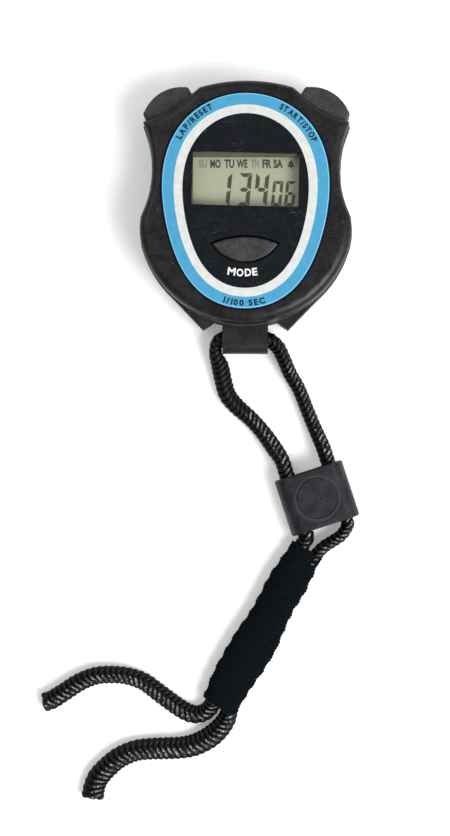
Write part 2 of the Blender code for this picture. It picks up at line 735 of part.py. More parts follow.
def display(finishes, case):
    pocket_side = SEAT_GAP
    outer = rounded_rectangle(*centred(GLASS_WIDTH, GLASS_HEIGHT, pocket_side + FRAME_WALL), FRAME_WALL)
    collar = rounded_rectangle(*centred(WINDOW_WIDTH, WINDOW_HEIGHT, COLLAR_WALL), COLLAR_WALL)
    frame_top = GLASS_FACE + SEAT_GAP + FRAME_LIP
    bm = bmesh.new()
    add_prism(bm, outer, BOARD_FACE + SEAT_GAP, frame_top)
    frame = place("lcd_frame", mesh_of("lcd_frame", bm), finishes["frame"], case)
    rim = bmesh.new()
    add_prism(rim, collar, frame_top - FRAME_LIP / 2, LEDGE)
    boolean(frame, "UNION", guide("frame_collar", rim, case))
    inner = bmesh.new()
    pocket = rounded_rectangle(*centred(GLASS_WIDTH, GLASS_HEIGHT, pocket_side), SEAT_GAP, 2)
    add_prism(inner, pocket, BOARD_BACK, GLASS_FACE + SEAT_GAP)
    boolean(frame, "DIFFERENCE", guide("glass_pocket", inner, case))
    window = bmesh.new()
    opening = rounded_rectangle(*centred(WINDOW_WIDTH, WINDOW_HEIGHT), SEAT_GAP, 2)
    add_prism(window, opening, BOARD_FACE, LENS_FACE)
    boolean(frame, "DIFFERENCE", guide("frame_window", window, case))

    glass = bmesh.new()
    sides = rounded_rectangle(*centred(GLASS_WIDTH, GLASS_HEIGHT), SEAT_GAP, 2)
    add_prism(glass, sides, GLASS_BACK, GLASS_FACE)
    place("lcd_panel", mesh_of("lcd_panel", glass), finishes["glass"], case)
    card = bmesh.new()
    card_top = GLASS_BACK - SEAT_GAP
    margin = 2 * ZEBRA_WIDTH + 4 * SEAT_GAP
    outline = rounded_rectangle(*centred(GLASS_WIDTH - margin, GLASS_HEIGHT - margin), SEAT_GAP, 2)
    add_prism(card, outline, card_top - REFLECTOR_THICK, card_top)
    place("lcd_reflector", mesh_of("lcd_reflector", card), finishes["card"], case)
    for name, way in (("zebra_strip_upper", 1), ("zebra_strip_lower", -1)):
        strip = bmesh.new()
        y = WINDOW_Y + way * (GLASS_HEIGHT / 2 - ZEBRA_WIDTH / 2)
        half = GLASS_WIDTH / 2 - ZEBRA_WIDTH
        sides = rounded_rectangle(-half, half, y - ZEBRA_WIDTH / 2, y + ZEBRA_WIDTH / 2, SEAT_GAP, 2)
        add_prism(strip, sides, ZEBRA_BASE, ZEBRA_TOP)
        place(name, mesh_of(name, strip), finishes["rubber"], case)


def circuit(finishes, case, seats):
    outline = inset(case_outline(), WALL + FRONT_STEP + BOARD_GAP)
    bm = bmesh.new()
    add_prism(bm, outline, BOARD_BACK, BOARD_FACE)
    board = place("circuit_board", mesh_of("circuit_board", bm), finishes["board"], case)
    trims = bmesh.new()
    wide = 2 * DIAL_RADIUS
    for y0, y1 in ((BOARD_TOP_Y, 2 * BOARD_TOP_Y), (-2 * DIAL_RADIUS, -BOARD_BOTTOM_Y)):
        corners = [Vector((-wide, y0)), Vector((wide, y0)), Vector((wide, y1)), Vector((-wide, y1))]
        add_prism(trims, corners, BOARD_BACK - BOARD_THICK, BOARD_FACE + BOARD_THICK)
    boolean(board, "DIFFERENCE", guide("board_trims", trims, case))
    for side, seat in seats.items():
        clear = bmesh.new()
        y0 = -SEAT_WALL_BACK - BOARD_GAP
        low, high = BOARD_BACK - BOARD_THICK, BOARD_FACE + BOARD_THICK
        y1 = 2 * CAP_PEAK
        add_bar(clear, [(y0, low), (y1, low), (y1, high), (y0, high)], -CAP_WIDTH, CAP_WIDTH)
        boolean(board, "DIFFERENCE", guide(f"board_seat_clear_{side}", clear, seat))
    holes = bmesh.new()
    low, high = BOARD_BACK - BOARD_THICK, BOARD_FACE + BOARD_THICK
    for spot in case_boss_places():
        radius = BOSS_RADIUS + BOARD_GAP
        add_turned(holes, spot.x, spot.y, [(radius, low), (radius, high)], 20)
    for spot in board_screw_places():
        radius = BOARD_SCREW_RADIUS + SCREW_CLEAR
        add_turned(holes, spot.x, spot.y, [(radius, low), (radius, high)], 16)
    boolean(board, "DIFFERENCE", guide("board_holes", holes, case))

    chip = bmesh.new()
    blob = []
    for step in range(5):
        angle = math.pi / 2 * step / 4
        radius = CHIP_RADIUS * (0.45 + 0.55 * math.sin(angle))
        blob.append((radius, -CHIP_HEIGHT * math.cos(angle)))
    add_turned(chip, 0, 0, blob, 28)
    chip_place = (-CELL_RADIUS - BOARD_SCREW_RADIUS, -CHIP_HEIGHT, UNDER_BOARD)
    place("chip_cap", mesh_of("chip_cap", chip), finishes["epoxy"], case, chip_place)

    can = bmesh.new()
    rings = []
    bevel = QUARTZ_RADIUS / 4
    for x, radius in (
        (0, QUARTZ_RADIUS - bevel),
        (bevel, QUARTZ_RADIUS),
        (QUARTZ_LENGTH - bevel, QUARTZ_RADIUS),
        (QUARTZ_LENGTH, QUARTZ_RADIUS - bevel),
    ):
        rings.append([Vector((x, p.x, p.y)) for p in circle(0, 0, radius, 18)])
    add_loft(can, rings)
    can_place = (CELL_RADIUS, -CHIP_HEIGHT, UNDER_BOARD - QUARTZ_RADIUS)
    place("quartz_can", mesh_of("quartz_can", can), finishes["steel"], case, can_place)


def screw_mesh(name, radius, length, head_radius, head, steps=16):
    """A screw that points up, with its head below z = 0 and a cross in the head."""
    bm = bmesh.new()
    bevel = head * 0.3
    profile = [
        (head_radius - bevel, -head),
        (head_radius, -head + bevel),
        (head_radius, 0),
        (radius, 0),
        (radius, length - radius),
        (radius * 0.4, length),
    ]
    add_turned(bm, 0, 0, profile, steps)
    return mesh_of(name, bm)


def cross_cutter(head_radius, head):
    """A cross-shaped recess, to cut from the outer side of a screw head."""
    arm = head_radius * 0.62
    half = head_radius * 0.17
    points = []
    for turn in range(4):
        rotation = Matrix.Rotation(math.pi / 2 * turn, 2)
        points += [rotation @ Vector(p) for p in ((arm, -half), (arm, half), (half, half))]
    bm = bmesh.new()
    add_prism(bm, points, -head * 1.5, -head * 0.45)
    return bm


def screws(finish, case):
    sets = []
    under_head = SCREW_SEAT - SEAT_GAP
    for number, spot in enumerate(case_boss_places(), 1):
        length = PLATE_UNDER - 4 * SEAT_GAP - under_head
        values = (SCREW_RADIUS, length, SCREW_HEAD_RADIUS, SCREW_HEAD)
        sets.append((f"case_screw_{number}", spot, under_head, *values))
    for number, spot in enumerate(board_screw_places(), 1):
        length = PLATE_UNDER - 4 * SEAT_GAP - UNDER_BOARD
        values = (BOARD_SCREW_RADIUS, length, BOARD_SCREW_HEAD_RADIUS, BOARD_SCREW_HEAD)
        sets.append((f"board_screw_{number}", spot, UNDER_BOARD, *values))
    door_head = DOOR_THICK * 0.55
    door_length = BOARD_BACK - BOARD_SCREW_HEAD - 5 * SEAT_GAP - DOOR_BACK - door_head
    values = (BOARD_SCREW_RADIUS, door_length, BOARD_SCREW_HEAD_RADIUS, door_head)
    sets.append(("battery_door_screw", door_screw_place(), DOOR_BACK + door_head, *values))
    for name, spot, z, radius, length, head_radius, head in sets:
        mesh = screw_mesh(name, radius, length, head_radius, head)
        made = place(name, mesh, finish, case, (spot.x, spot.y, z))
        cutter = guide(f"{name}_cross", cross_cutter(head_radius, head), case, (spot.x, spot.y, z))
        boolean(made, "DIFFERENCE", cutter)


def battery(finishes, case):
    cell = bmesh.new()
    lip = CELL_RADIUS * 0.86
    step = CELL_HEIGHT * 0.12
    bevel = CELL_HEIGHT * 0.06
    profile = [
        (CELL_RADIUS - bevel, 0),
        (CELL_RADIUS, bevel),
        (CELL_RADIUS, CELL_HEIGHT - step - bevel),
        (CELL_RADIUS - bevel, CELL_HEIGHT - step),
        (lip, CELL_HEIGHT - step),
        (lip - bevel, CELL_HEIGHT),
    ]
    add_turned(cell, 0, 0, profile)
    place("battery_cell", mesh_of("battery_cell", cell), finishes["steel"], case, (0, CELL_Y, CELL_BACK))

    minus = bmesh.new()
    cone = [(CELL_RADIUS * 0.66, CELL_FACE + SEAT_GAP), (CELL_RADIUS * 0.7, UNDER_BOARD)]
    add_turned(minus, 0, CELL_Y, cone, 28)
    place("battery_contact_minus", mesh_of("battery_contact_minus", minus), finishes["steel"], case)

    plus = bmesh.new()
    x0 = CELL_RADIUS + SEAT_GAP
    x1 = x0 + STRIP_THICK
    x2 = x1 + STRIP_FOOT
    low = DOOR_SEAT + DOOR_PAD
    high = UNDER_BOARD
    bend = high - STRIP_THICK
    sides = [(x0, low), (x1, low), (x1, bend), (x2, bend), (x2, high), (x0, high)]
    rings = [[Vector((x, CELL_Y + way * STRIP_HALF, z)) for x, z in sides] for way in (1, -1)]
    add_loft(plus, rings)
    place("battery_contact_plus", mesh_of("battery_contact_plus", plus), finishes["steel"], case)

    door = bmesh.new()
    bevel = DOOR_THICK / 5
    rings = [(DOOR_CLEAR + bevel, DOOR_BACK), (DOOR_CLEAR, DOOR_BACK + bevel), (DOOR_CLEAR, DOOR_FACE)]
    add_loft(door, [level(inset(door_outline(0), d), z) for d, z in rings])
    made = place("battery_door", mesh_of("battery_door", door), finishes["rear"], case)
    spot = door_screw_place()
    seat = bmesh.new()
    head = BOARD_SCREW_HEAD_RADIUS + SCREW_CLEAR
    hole = BOARD_SCREW_RADIUS + SCREW_CLEAR
    seat_level = DOOR_BACK + DOOR_THICK * 0.55 + SEAT_GAP
    steps = [(head, -DOOR_THICK), (head, seat_level), (hole, seat_level), (hole, 2 * DOOR_THICK)]
    add_turned(seat, spot.x, spot.y, steps, 24)
    boolean(made, "DIFFERENCE", guide("door_screw_seat", seat, case))
    grips = bmesh.new()
    for row in range(4):
        y = CELL_Y - DOOR_END + GRIP_START + row * GRIP_PITCH
        bar = rounded_rectangle(-DOOR_HALF / 2, DOOR_HALF / 2, y, y + GRIP_WIDTH, GRIP_WIDTH * 0.4, 2)
        add_prism(grips, bar, -DOOR_THICK, DOOR_BACK + bevel)
    boolean(made, "DIFFERENCE", guide("door_grips", grips, case))


def sounder(finishes, case):
    disc = bmesh.new()
    base = REAR_PLATE + SEAT_GAP
    rim = PIEZO_RADIUS * 0.72
    profile = [
        (PIEZO_RADIUS, base),
        (PIEZO_RADIUS, base + PIEZO_THICK * 0.5),
        (rim, base + PIEZO_THICK * 0.5),
        (rim, base + PIEZO_THICK),
    ]
    add_turned(disc, 0, PIEZO_Y, profile)
    place("piezo_disc", mesh_of("piezo_disc", disc), finishes["brass"], case)

    low = base + PIEZO_THICK + SEAT_GAP + SPRING_WIRE
    high = UNDER_BOARD - SPRING_WIRE
    points = []
    count = 9 * SPRING_TURNS
    for step in range(count + 1):
        angle = 2 * math.pi * SPRING_TURNS * step / count
        z = low + (high - low) * step / count
        x = SPRING_RADIUS * math.cos(angle)
        points.append(Vector((x, PIEZO_Y + SPRING_RADIUS * math.sin(angle), z)))
    spring = tube("piezo_spring", points, SPRING_WIRE, 1)
    place("piezo_spring", spring, finishes["steel"], case)
    report_least_gap("piezo_spring", points, SPRING_WIRE, 5)


def report_least_gap(name, points, radius, skip):
    """Prints the least clear distance of a wound wire to itself, on its own points."""
    least = min(
        (points[i] - points[j]).length - 2 * radius
        for i in range(len(points))
        for j in range(i + skip, len(points))
    )
    print(f"{name}: least gap to itself {least * 1000:.2f} mm")


def tube(name, points, radius, resolution):
    curve = bpy.data.curves.new(name, "CURVE")
    curve.dimensions = "3D"
    curve.bevel_depth = radius
    curve.bevel_resolution = resolution
    curve.use_fill_caps = True
    spline = curve.splines.new("POLY")
    spline.points.add(len(points) - 1)
    for target, point in zip(spline.points, points):
        target.co = (*point, 1)
    spline.use_smooth = True
    return curve


def cap_outline():
    """A top button seen from the front: flat inner side, short ends and a crowned outer side."""
    half = CAP_WIDTH / 2
    shoulder = CAP_END + CAP_CORNER / 2
    outer = arc_between(
        (half - CAP_CORNER, shoulder),
        (CAP_CORNER - half, shoulder),
        shoulder - CAP_PEAK,
        10,
    )
    right = [
        Vector((half, -CAP_BACK)),
        Vector((half, CAP_END - CAP_CORNER / 2)),
        Vector((half - CAP_CORNER * 0.3, CAP_END + CAP_CORNER * 0.1)),
    ]
    left = [Vector((-p.x, p.y)) for p in reversed(right)]
    return right + outer + left


def top_button(name, side, seat, finishes):
    outline = cap_outline()
    rings = []
    soft = CAP_ROUND * 0.6
    for step in range(4):
        angle = math.pi / 2 * step / 3
        rise = soft * (1 - math.cos(angle))
        rings.append(level(inset(outline, soft * (1 - math.sin(angle))), CAP_BOTTOM + rise))
    for step in range(5):
        angle = math.pi / 2 * step / 4
        fall = CAP_ROUND * (1 - math.sin(angle))
        rings.append(level(inset(outline, CAP_ROUND * (1 - math.cos(angle))), CAP_TOP - fall))
    bm = bmesh.new()
    add_loft(bm, rings)
    cap = place(f"{name}_button", mesh_of(name, bm), finishes["grain"], seat)

    low, high = STEM_LEVEL - STEM_HEIGHT / 2, STEM_LEVEL + STEM_HEIGHT / 2
    half = STEM_WIDTH / 2
    root = CAP_ROUND - CAP_BACK
    stem = bmesh.new()
    add_bar(stem, [(-STEM_TIP, low), (root, low), (root, high), (-STEM_TIP, high)], -half, half)
    boolean(cap, "UNION", guide(f"{name}_stem", stem, seat))
    flange = bmesh.new()
    top = UNDER_BOARD
    bottom = 2 * STEM_LEVEL - top
    wide = half + WALL
    back, face = -FLANGE_BACK, -FLANGE_FACE
    add_bar(flange, [(back, bottom), (face, bottom), (face, top), (back, top)], -wide, wide)
    boolean(cap, "UNION", guide(f"{name}_flange", flange, seat))

    body = bmesh.new()
    low, high = UNDER_BOARD - SWITCH_HEIGHT, UNDER_BOARD
    add_bar(
        body,
        [(-SWITCH_BACK, low), (-SWITCH_FACE, low), (-SWITCH_FACE, high), (-SWITCH_BACK, high)],
        -SWITCH_WIDTH / 2,
        SWITCH_WIDTH / 2,
    )
    switch = place(f"{name}_switch", mesh_of(f"{name}_switch", body), finishes["epoxy"], seat)
    hole = bmesh.new()
    depth = PLUNGER_LENGTH + PRESS + SEAT_GAP - (SWITCH_FACE - PLUNGER_TIP)
    rings = []
    for y in (-SWITCH_FACE + SEAT_GAP, -SWITCH_FACE - depth):
        rings.append([Vector((p.x, y, p.y)) for p in circle(0, STEM_LEVEL, PLUNGER_RADIUS + SEAT_GAP, 20)])
    add_loft(hole, rings)
    boolean(switch, "DIFFERENCE", guide(f"{name}_switch_hole", hole, seat))

    plunger = bmesh.new()
    rings = []
    for y in (-PLUNGER_TIP, -PLUNGER_TIP - PLUNGER_LENGTH):
        rings.append([Vector((p.x, y, p.y)) for p in circle(0, STEM_LEVEL, PLUNGER_RADIUS, 20)])
    add_loft(plunger, rings)
    place(f"{name}_plunger", mesh_of(f"{name}_plunger", plunger), finishes["card"], seat)


def mode_key(finishes, case):
    outline = half_moon_outline()
    top = LENS_FACE - MODE_SINK
    soft = MODE_GAP
    flange_top = PLATE_UNDER - SEAT_GAP
    flange_base = flange_top - MODE_FLANGE
    rings = [
        (-MODE_FLANGE, flange_base),
        (-MODE_FLANGE, flange_top),
        (MODE_GAP, flange_top),
        (MODE_GAP, top - 2 * soft),
        (MODE_GAP + soft * 0.3, top - soft),
        (MODE_GAP + soft, top - soft * 0.3),
        (MODE_GAP + 2 * soft, top),
    ]
    middle = Vector((0, MODE_Y - (MODE_DROP - MODE_RISE) / 2))
    bm = bmesh.new()
    add_loft(bm, [level([p - middle for p in inset(outline, d)], z - flange_base) for d, z in rings])
    spot = (middle.x, middle.y, flange_base)
    place("mode_button", mesh_of("mode_button", bm), finishes["key"], case, spot)

    dome = bmesh.new()
    base = BOARD_FACE + SEAT_GAP
    height = flange_base - SEAT_GAP - base
    profile = [
        (DOME_RADIUS, 0),
        (DOME_RADIUS, height * 0.2),
        (DOME_RADIUS * 0.93, height * 0.3),
        (DOME_TOP_RADIUS, height * 0.72),
        (DOME_TOP_RADIUS, height),
    ]
    add_turned(dome, 0, 0, profile, 28)
    spot = (middle.x, middle.y, base)
    place("mode_dome", mesh_of("mode_dome", dome), finishes["rubber"], case, spot)


def slider(finish, frame):
    """Pillow-shaped block with two bores for the strands and two moulded rings on its face."""
    half = SLIDER_WIDTH / 2
    mid = SLIDER_THICK / 2
    profile = []
    for cx, start in ((half - SLIDER_SIDE, -90), (SLIDER_SIDE - half, 90)):
        for step in range(9):
            angle = math.radians(start + 180 * step / 8)
            x = cx + SLIDER_SIDE * math.cos(angle)
            profile.append((x, mid + mid * math.sin(angle)))
    rings = []
    length = SLIDER_LENGTH / 2
    inside = length - SLIDER_EDGE
    for y, shrink in ((-length, SLIDER_EDGE), (-inside, 0), (inside, 0), (length, SLIDER_EDGE)):
        wide = (half - shrink) / half
        deep = (mid - shrink) / mid
        rings.append([Vector((x * wide, y, mid + (z - mid) * deep)) for x, z in profile])
    bm = bmesh.new()
    add_loft(bm, rings)
    made = place("cord_slider", mesh_of("cord_slider", bm), finish, frame)
    bores = bmesh.new()
    for way in (-1, 1):
        x = way * BORE_SPACING / 2
        ends = []
        for y, radius in (
            (-length - SLIDER_EDGE, SLIDER_BORE + 2 * SLIDER_EDGE),
            (-length + SLIDER_EDGE, SLIDER_BORE),
            (length - SLIDER_EDGE, SLIDER_BORE),
            (length + SLIDER_EDGE, SLIDER_BORE + 2 * SLIDER_EDGE),
        ):
            ends.append([Vector((p.x, y, p.y)) for p in circle(x, mid, radius, 24)])
        add_loft(bores, ends)
    boolean(made, "DIFFERENCE", guide("slider_bores", bores, frame))
    groove = bmesh.new()
    low, high = SLIDER_THICK - RING_DEPTH, SLIDER_THICK + RING_DEPTH
    for outer in (RING_RADIUS, INNER_RING_RADIUS):
        inner = outer - RING_WIDTH
        corners = [(inner, low), (outer, low), (outer, high), (inner, high)]
        add_loft(groove, [level(circle(0, 0, r, 40), z) for r, z in corners], closed=True)
    boolean(made, "DIFFERENCE", guide("slider_rings", groove, frame))


def slider_point(across, along, z):
    """A world point given in the slider's own directions."""
    turn = Matrix.Rotation(SLIDER_TURN, 2)
    flat = Vector((SLIDER_X, SLIDER_Y)) + turn @ Vector((across, along))
    return (flat.x, flat.y, z)


def smooth_route(points, longest):
    """Points on a smooth curve through the route, no further apart than longest."""
    route = [Vector(p) for p in points]
    made = [route[0]]
    for i in range(len(route) - 1):
        p0 = route[max(i - 1, 0)]
        p1, p2 = route[i], route[i + 1]
        p3 = route[min(i + 2, len(route) - 1)]
        pieces = max(1, math.ceil((p2 - p1).length / longest))
        for piece in range(1, pieces + 1):
            t = piece / pieces
            square = (p0 * 2 - p1 * 5 + p2 * 4 - p3) * t**2
            cube = (p1 * 3 - p0 - p2 * 3 + p3) * t**3
            made.append((p1 * 2 + (p2 - p0) * t + square + cube) / 2)
    return made


def sleeve_route():
    """Middle line of the knitted sleeve on the table, seen from above."""
    return [
        (0.0164, -0.0974),
        (0.0131, -0.1032),
        (0.0098, -0.1089),
        (0.0069, -0.1147),
        (0.0038, -0.1204),
        (0.0003, -0.1262),
        (-0.0032, -0.1319),
        (-0.0059, -0.1375),
    ]


def sleeve_strand(side):
    """The part of a strand that lies in the sleeve, beside its middle line."""
    line = [Vector(p) for p in sleeve_route()]
    offset = CORD_RADIUS + STRAND_GAP / 2
    points = []
    for i, p in enumerate(line):
        along = (line[min(i + 1, len(line) - 1)] - line[max(i - 1, 0)]).normalized()
        across = Vector((-along.y, along.x)) * side
        q = p + across * offset
        points.append((q.x, q.y, SLEEVE_LEVEL))
    return points


def strand_routes():
    """Hand-chosen points of both strands, from inside the lug to the cut ends."""
    mouth = LUG_HALF
    y = LUG_BORE_Y
    z = LUG_LEVEL
    table = CORD_LEVEL
    bore = SLIDER_THICK / 2
    half = BORE_SPACING / 2
    length = SLIDER_LENGTH / 2
    left = [
        (-0.00025, y, z),
        (-mouth * 0.38, y, z),
        (-mouth * 0.75, y, z),
        (-mouth - 0.0004, y - 0.0005, z - 0.0001),
        (-mouth - 0.0023, y - 0.0018, z - 0.0008),
        (-mouth - 0.0029, y - 0.0043, z - 0.0018),
        (-0.0079, -0.0416, 0.0030),
        (-0.0067, -0.0457, table + 0.0002),
        (-0.0051, -0.0501, table),
        (-0.0022, -0.0536, table),
        (0.0017, -0.0570, table),
        (0.0053, -0.0610, table + 0.0003),
        (0.0083, -0.0652, table + 0.0009),
        slider_point(-half, length + 0.0050, bore - 0.0002),
        slider_point(-half, length + 0.0010, bore),
        slider_point(-half, 0, bore),
        slider_point(-half, -length - 0.0006, bore),
        (0.0176, -0.0917, bore - 0.0003),
        (0.0161, -0.0938, SLEEVE_LEVEL + 0.0001),
    ]
    left += sleeve_strand(-1)
    left += [
        (-0.0089, -0.1391, table + 0.0004),
        (-0.0108, -0.1412, table),
        (-0.0134, -0.1420, table),
        (-0.0161, -0.1414, table),
        (-0.0193, -0.1395, table),
        (-0.0239, -0.1362, table),
        (-0.0285, -0.1329, table),
        (-0.0332, -0.1313, table),
        (-0.0378, -0.1309, table),
        (-0.0424, -0.1313, table),
        (-0.0470, -0.1331, table),
        (-0.0516, -0.1361, table),
        (-0.0553, -0.1384, table),
        (-0.0577, -0.1391, table),
    ]
    right = [
        (0.00025, y, z),
        (mouth * 0.38, y, z),
        (mouth * 0.75, y, z),
        (mouth + 0.0006, y - 0.0006, z - 0.0001),
        (mouth + 0.0029, y - 0.0025, z - 0.0009),
        (mouth + 0.0046, y - 0.0058, z - 0.0021),
        (0.0130, -0.0440, 0.0026),
        (0.0155, -0.0483, table),
        (0.0178, -0.0540, table),
        (0.0202, -0.0598, table + 0.0004),
        slider_point(half, length + 0.0050, bore - 0.0002),
        slider_point(half, length + 0.0010, bore),
        slider_point(half, 0, bore),
        slider_point(half, -length - 0.0008, bore),
        (0.0293, -0.0881, bore - 0.0003),
        (0.0278, -0.0903, bore - 0.0006),
        (0.0255, -0.0919, SLEEVE_LEVEL),
        (0.0229, -0.0936, SLEEVE_LEVEL),
        (0.0207, -0.0959, SLEEVE_LEVEL),
    ]
    right += sleeve_strand(1)
    right += [
        (-0.0043, -0.1423, table + 0.0005),
        (-0.0061, -0.1453, table),
        (-0.0086, -0.1478, table),
        (-0.0115, -0.1497, table),
        (-0.0147, -0.1510, table),
        (-0.0181, -0.1516, table),
        (-0.0216, -0.1518, table),
        (-0.0261, -0.1520, table),
        (-0.0307, -0.1526, table),
        (-0.0352, -0.1545, table),
        (-0.0387, -0.1573, table),
        (-0.0414, -0.1603, table),
        (-0.0426, -0.1632, table),
        (-0.0431, -0.1664, table),
    ]
    return {"cord_left": left, "cord_right": right}


def lanyard(finishes, watch):
    for name, route in strand_routes().items():
        points = smooth_route(route, 0.0075)
        place(name, tube(name, points, CORD_RADIUS, 2), finishes["cord"], watch)

    line = smooth_route([(x, y, SLEEVE_LEVEL) for x, y in sleeve_route()], 0.0070)
    rings = []
    walls = ((SLEEVE_WALL, False), (0.0, True))
    for grown, inward in walls:
        order = list(range(len(line)))
        if inward:
            order.reverse()
        for i in order:
            along = (line[min(i + 1, len(line) - 1)] - line[max(i - 1, 0)]).normalized()
            across = Vector((-along.y, along.x, 0)).normalized()
            rings.append(oval_ring(line[i], across, grown))
    bm = bmesh.new()
    add_loft(bm, rings, closed=True)
    place("knit_sleeve", mesh_of("knit_sleeve", bm), finishes["knit"], watch)


def oval_ring(centre, across, grown):
    """One section of the sleeve: two half circles joined by straight runs."""
    rise = SLEEVE_RISE_INNER + grown
    run = SLEEVE_HALF_INNER - SLEEVE_RISE_INNER
    ring = []
    for way, start in ((1, -90), (-1, 90)):
        for step in range(9):
            angle = math.radians(start + 180 * step / 8)
            side = way * run + rise * math.cos(angle)
            ring.append(centre + across * side + Vector((0, 0, rise * math.sin(angle))))
    return ring


def build():
    remove_everything()
    finishes = {
        "front": material("front_black", (0.012, 0.012, 0.014), 0.42),
        "rear": material("rear_grained_black", (0.020, 0.020, 0.022), 0.62),
        "grain": material("button_grained_grey", (0.045, 0.045, 0.047), 0.60),
        "key": material("mode_key_black", (0.020, 0.020, 0.022), 0.45),
        "lens": material("printed_lens", (0.05, 0.38, 0.70), 0.08),
        "frame": material("display_frame_olive", (0.19, 0.19, 0.14), 0.55),
        "glass": material("display_glass", (0.40, 0.42, 0.30), 0.10),
        "card": material("white_plastic", (0.75, 0.75, 0.72), 0.60),
        "rubber": material("silicone_grey", (0.30, 0.30, 0.30), 0.70),
        "board": material("board_green", (0.02, 0.16, 0.06), 0.45),
        "epoxy": material("epoxy_black", (0.01, 0.01, 0.01), 0.35),
        "steel": material("nickel_steel", (0.62, 0.60, 0.56), 0.28, 1.0),
        "brass": material("sounder_brass", (0.72, 0.52, 0.22), 0.35, 1.0),
        "slider": material("slider_grey", (0.030, 0.032, 0.034), 0.50),
        "cord": material("cord_black", (0.010, 0.010, 0.011), 0.85),
        "knit": material("knit_black", (0.008, 0.010, 0.012), 0.95),
    }
    watch = empty("stopwatch", (0, 0, 0))
    case = empty("case", (0, 0, 0), 0.0, watch)
    seats = {}
    for side, name in ((1, "start_stop_axis"), (-1, "lap_reset_axis")):
        spot, turn = seat_frame(side)
        seats[side] = empty(name, spot, turn, case)
    slide = empty("slider_axis", (SLIDER_X, SLIDER_Y, 0), SLIDER_TURN, watch)

    front_shell(finishes["front"], case, seats)
    rear_shell(finishes["rear"], case, seats)
    lens(finishes["lens"], case)
    display(finishes, case)
    circuit(finishes, case, seats)
    screws(finishes["steel"], case)
    battery(finishes, case)
    sounder(finishes, case)
    mode_key(finishes, case)
    top_button("start_stop", 1, seats[1], finishes)
    top_button("lap_reset", -1, seats[-1], finishes)
    slider(finishes["slider"], slide)
    lanyard(finishes, watch)


build()
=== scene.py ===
import math

import bmesh
import bpy
from mathutils import Matrix, Vector


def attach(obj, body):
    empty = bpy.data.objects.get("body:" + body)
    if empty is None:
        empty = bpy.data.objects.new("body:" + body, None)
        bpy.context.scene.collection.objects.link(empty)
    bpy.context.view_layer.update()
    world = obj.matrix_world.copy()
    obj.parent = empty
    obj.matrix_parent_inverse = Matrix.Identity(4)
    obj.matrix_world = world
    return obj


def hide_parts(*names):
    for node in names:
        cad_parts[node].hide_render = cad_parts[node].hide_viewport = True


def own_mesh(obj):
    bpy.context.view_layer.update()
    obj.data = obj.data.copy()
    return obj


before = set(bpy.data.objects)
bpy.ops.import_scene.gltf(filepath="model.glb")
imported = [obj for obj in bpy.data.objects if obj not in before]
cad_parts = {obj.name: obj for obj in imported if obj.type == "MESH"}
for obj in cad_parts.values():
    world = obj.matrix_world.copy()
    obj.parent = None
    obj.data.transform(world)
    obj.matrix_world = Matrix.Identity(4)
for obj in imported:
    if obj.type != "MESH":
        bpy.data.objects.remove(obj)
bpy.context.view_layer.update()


# Camera: above the stopwatch and a little to its lower right, as the photograph was taken.
# Its place, aim and focal length were fitted to the photographed outlines.
PHOTO_HEIGHT = 836
FOCAL_PIXELS = 1551
SENSOR_WIDTH = 36
CAMERA_PLACE = Vector((0.008, -0.071, 0.450))
CAMERA_AIM = Vector((-0.00585, -0.0567, 0.0))
CAMERA_ROLL = math.radians(0.4)

lens_data = bpy.data.cameras.new("camera")
lens_data.sensor_width = SENSOR_WIDTH
lens_data.lens = FOCAL_PIXELS * SENSOR_WIDTH / PHOTO_HEIGHT
lens_data.clip_start = 0.01
camera = bpy.data.objects.new("camera", lens_data)
bpy.context.scene.collection.objects.link(camera)
look = (CAMERA_AIM - CAMERA_PLACE).normalized()
across = look.cross(Vector((0, 1, 0))).normalized()
right = across * math.cos(CAMERA_ROLL) + across.cross(look) * math.sin(CAMERA_ROLL)
camera.location = CAMERA_PLACE
camera.rotation_mode = "QUATERNION"
camera.rotation_quaternion = Matrix((right, right.cross(look), -look)).transposed().to_quaternion()
bpy.context.scene.camera = camera
bpy.context.scene.view_settings.view_transform = "Standard"


# Floor and studio light: white paper under the object, two soft lamps and a white room.
# The room is brighter on the right; a little glow that only the camera sees makes the paper white.
PAPER_HALF = 3.0
PAPER_GLOW = 0.22
ROOM_LIGHT = 0.53
ROOM_SLOPE = 0.34
LAMP_AIM = Vector((0, -0.05, 0))


def feed(tree, socket, value):
    if isinstance(value, bpy.types.NodeSocket):
        tree.links.new(value, socket)
    else:
        socket.default_value = value


def calc(tree, operation, *values):
    node = tree.nodes.new("ShaderNodeMath")
    node.operation = operation
    for socket, value in zip(node.inputs, values):
        feed(tree, socket, value)
    return node.outputs[0]


def times(tree, *values):
    made = values[0]
    for value in values[1:]:
        made = calc(tree, "MULTIPLY", made, value)
    return made


def axes(tree, vector):
    node = tree.nodes.new("ShaderNodeSeparateXYZ")
    feed(tree, node.inputs[0], vector)
    return node.outputs


def new_look(name, colour, roughness, specular=0.5, metallic=0.0):
    made = bpy.data.materials.new(name)
    made.use_nodes = True
    shader = made.node_tree.nodes["Principled BSDF"]
    shader.inputs["Base Color"].default_value = (*colour, 1)
    shader.inputs["Roughness"].default_value = roughness
    shader.inputs["Specular IOR Level"].default_value = specular
    shader.inputs["Metallic"].default_value = metallic
    return made, made.node_tree, shader


def put_in_scene(name, mesh, material):
    made = bpy.data.objects.new(name, mesh)
    bpy.context.scene.collection.objects.link(made)
    mesh.materials.clear()
    mesh.materials.append(material)
    return made


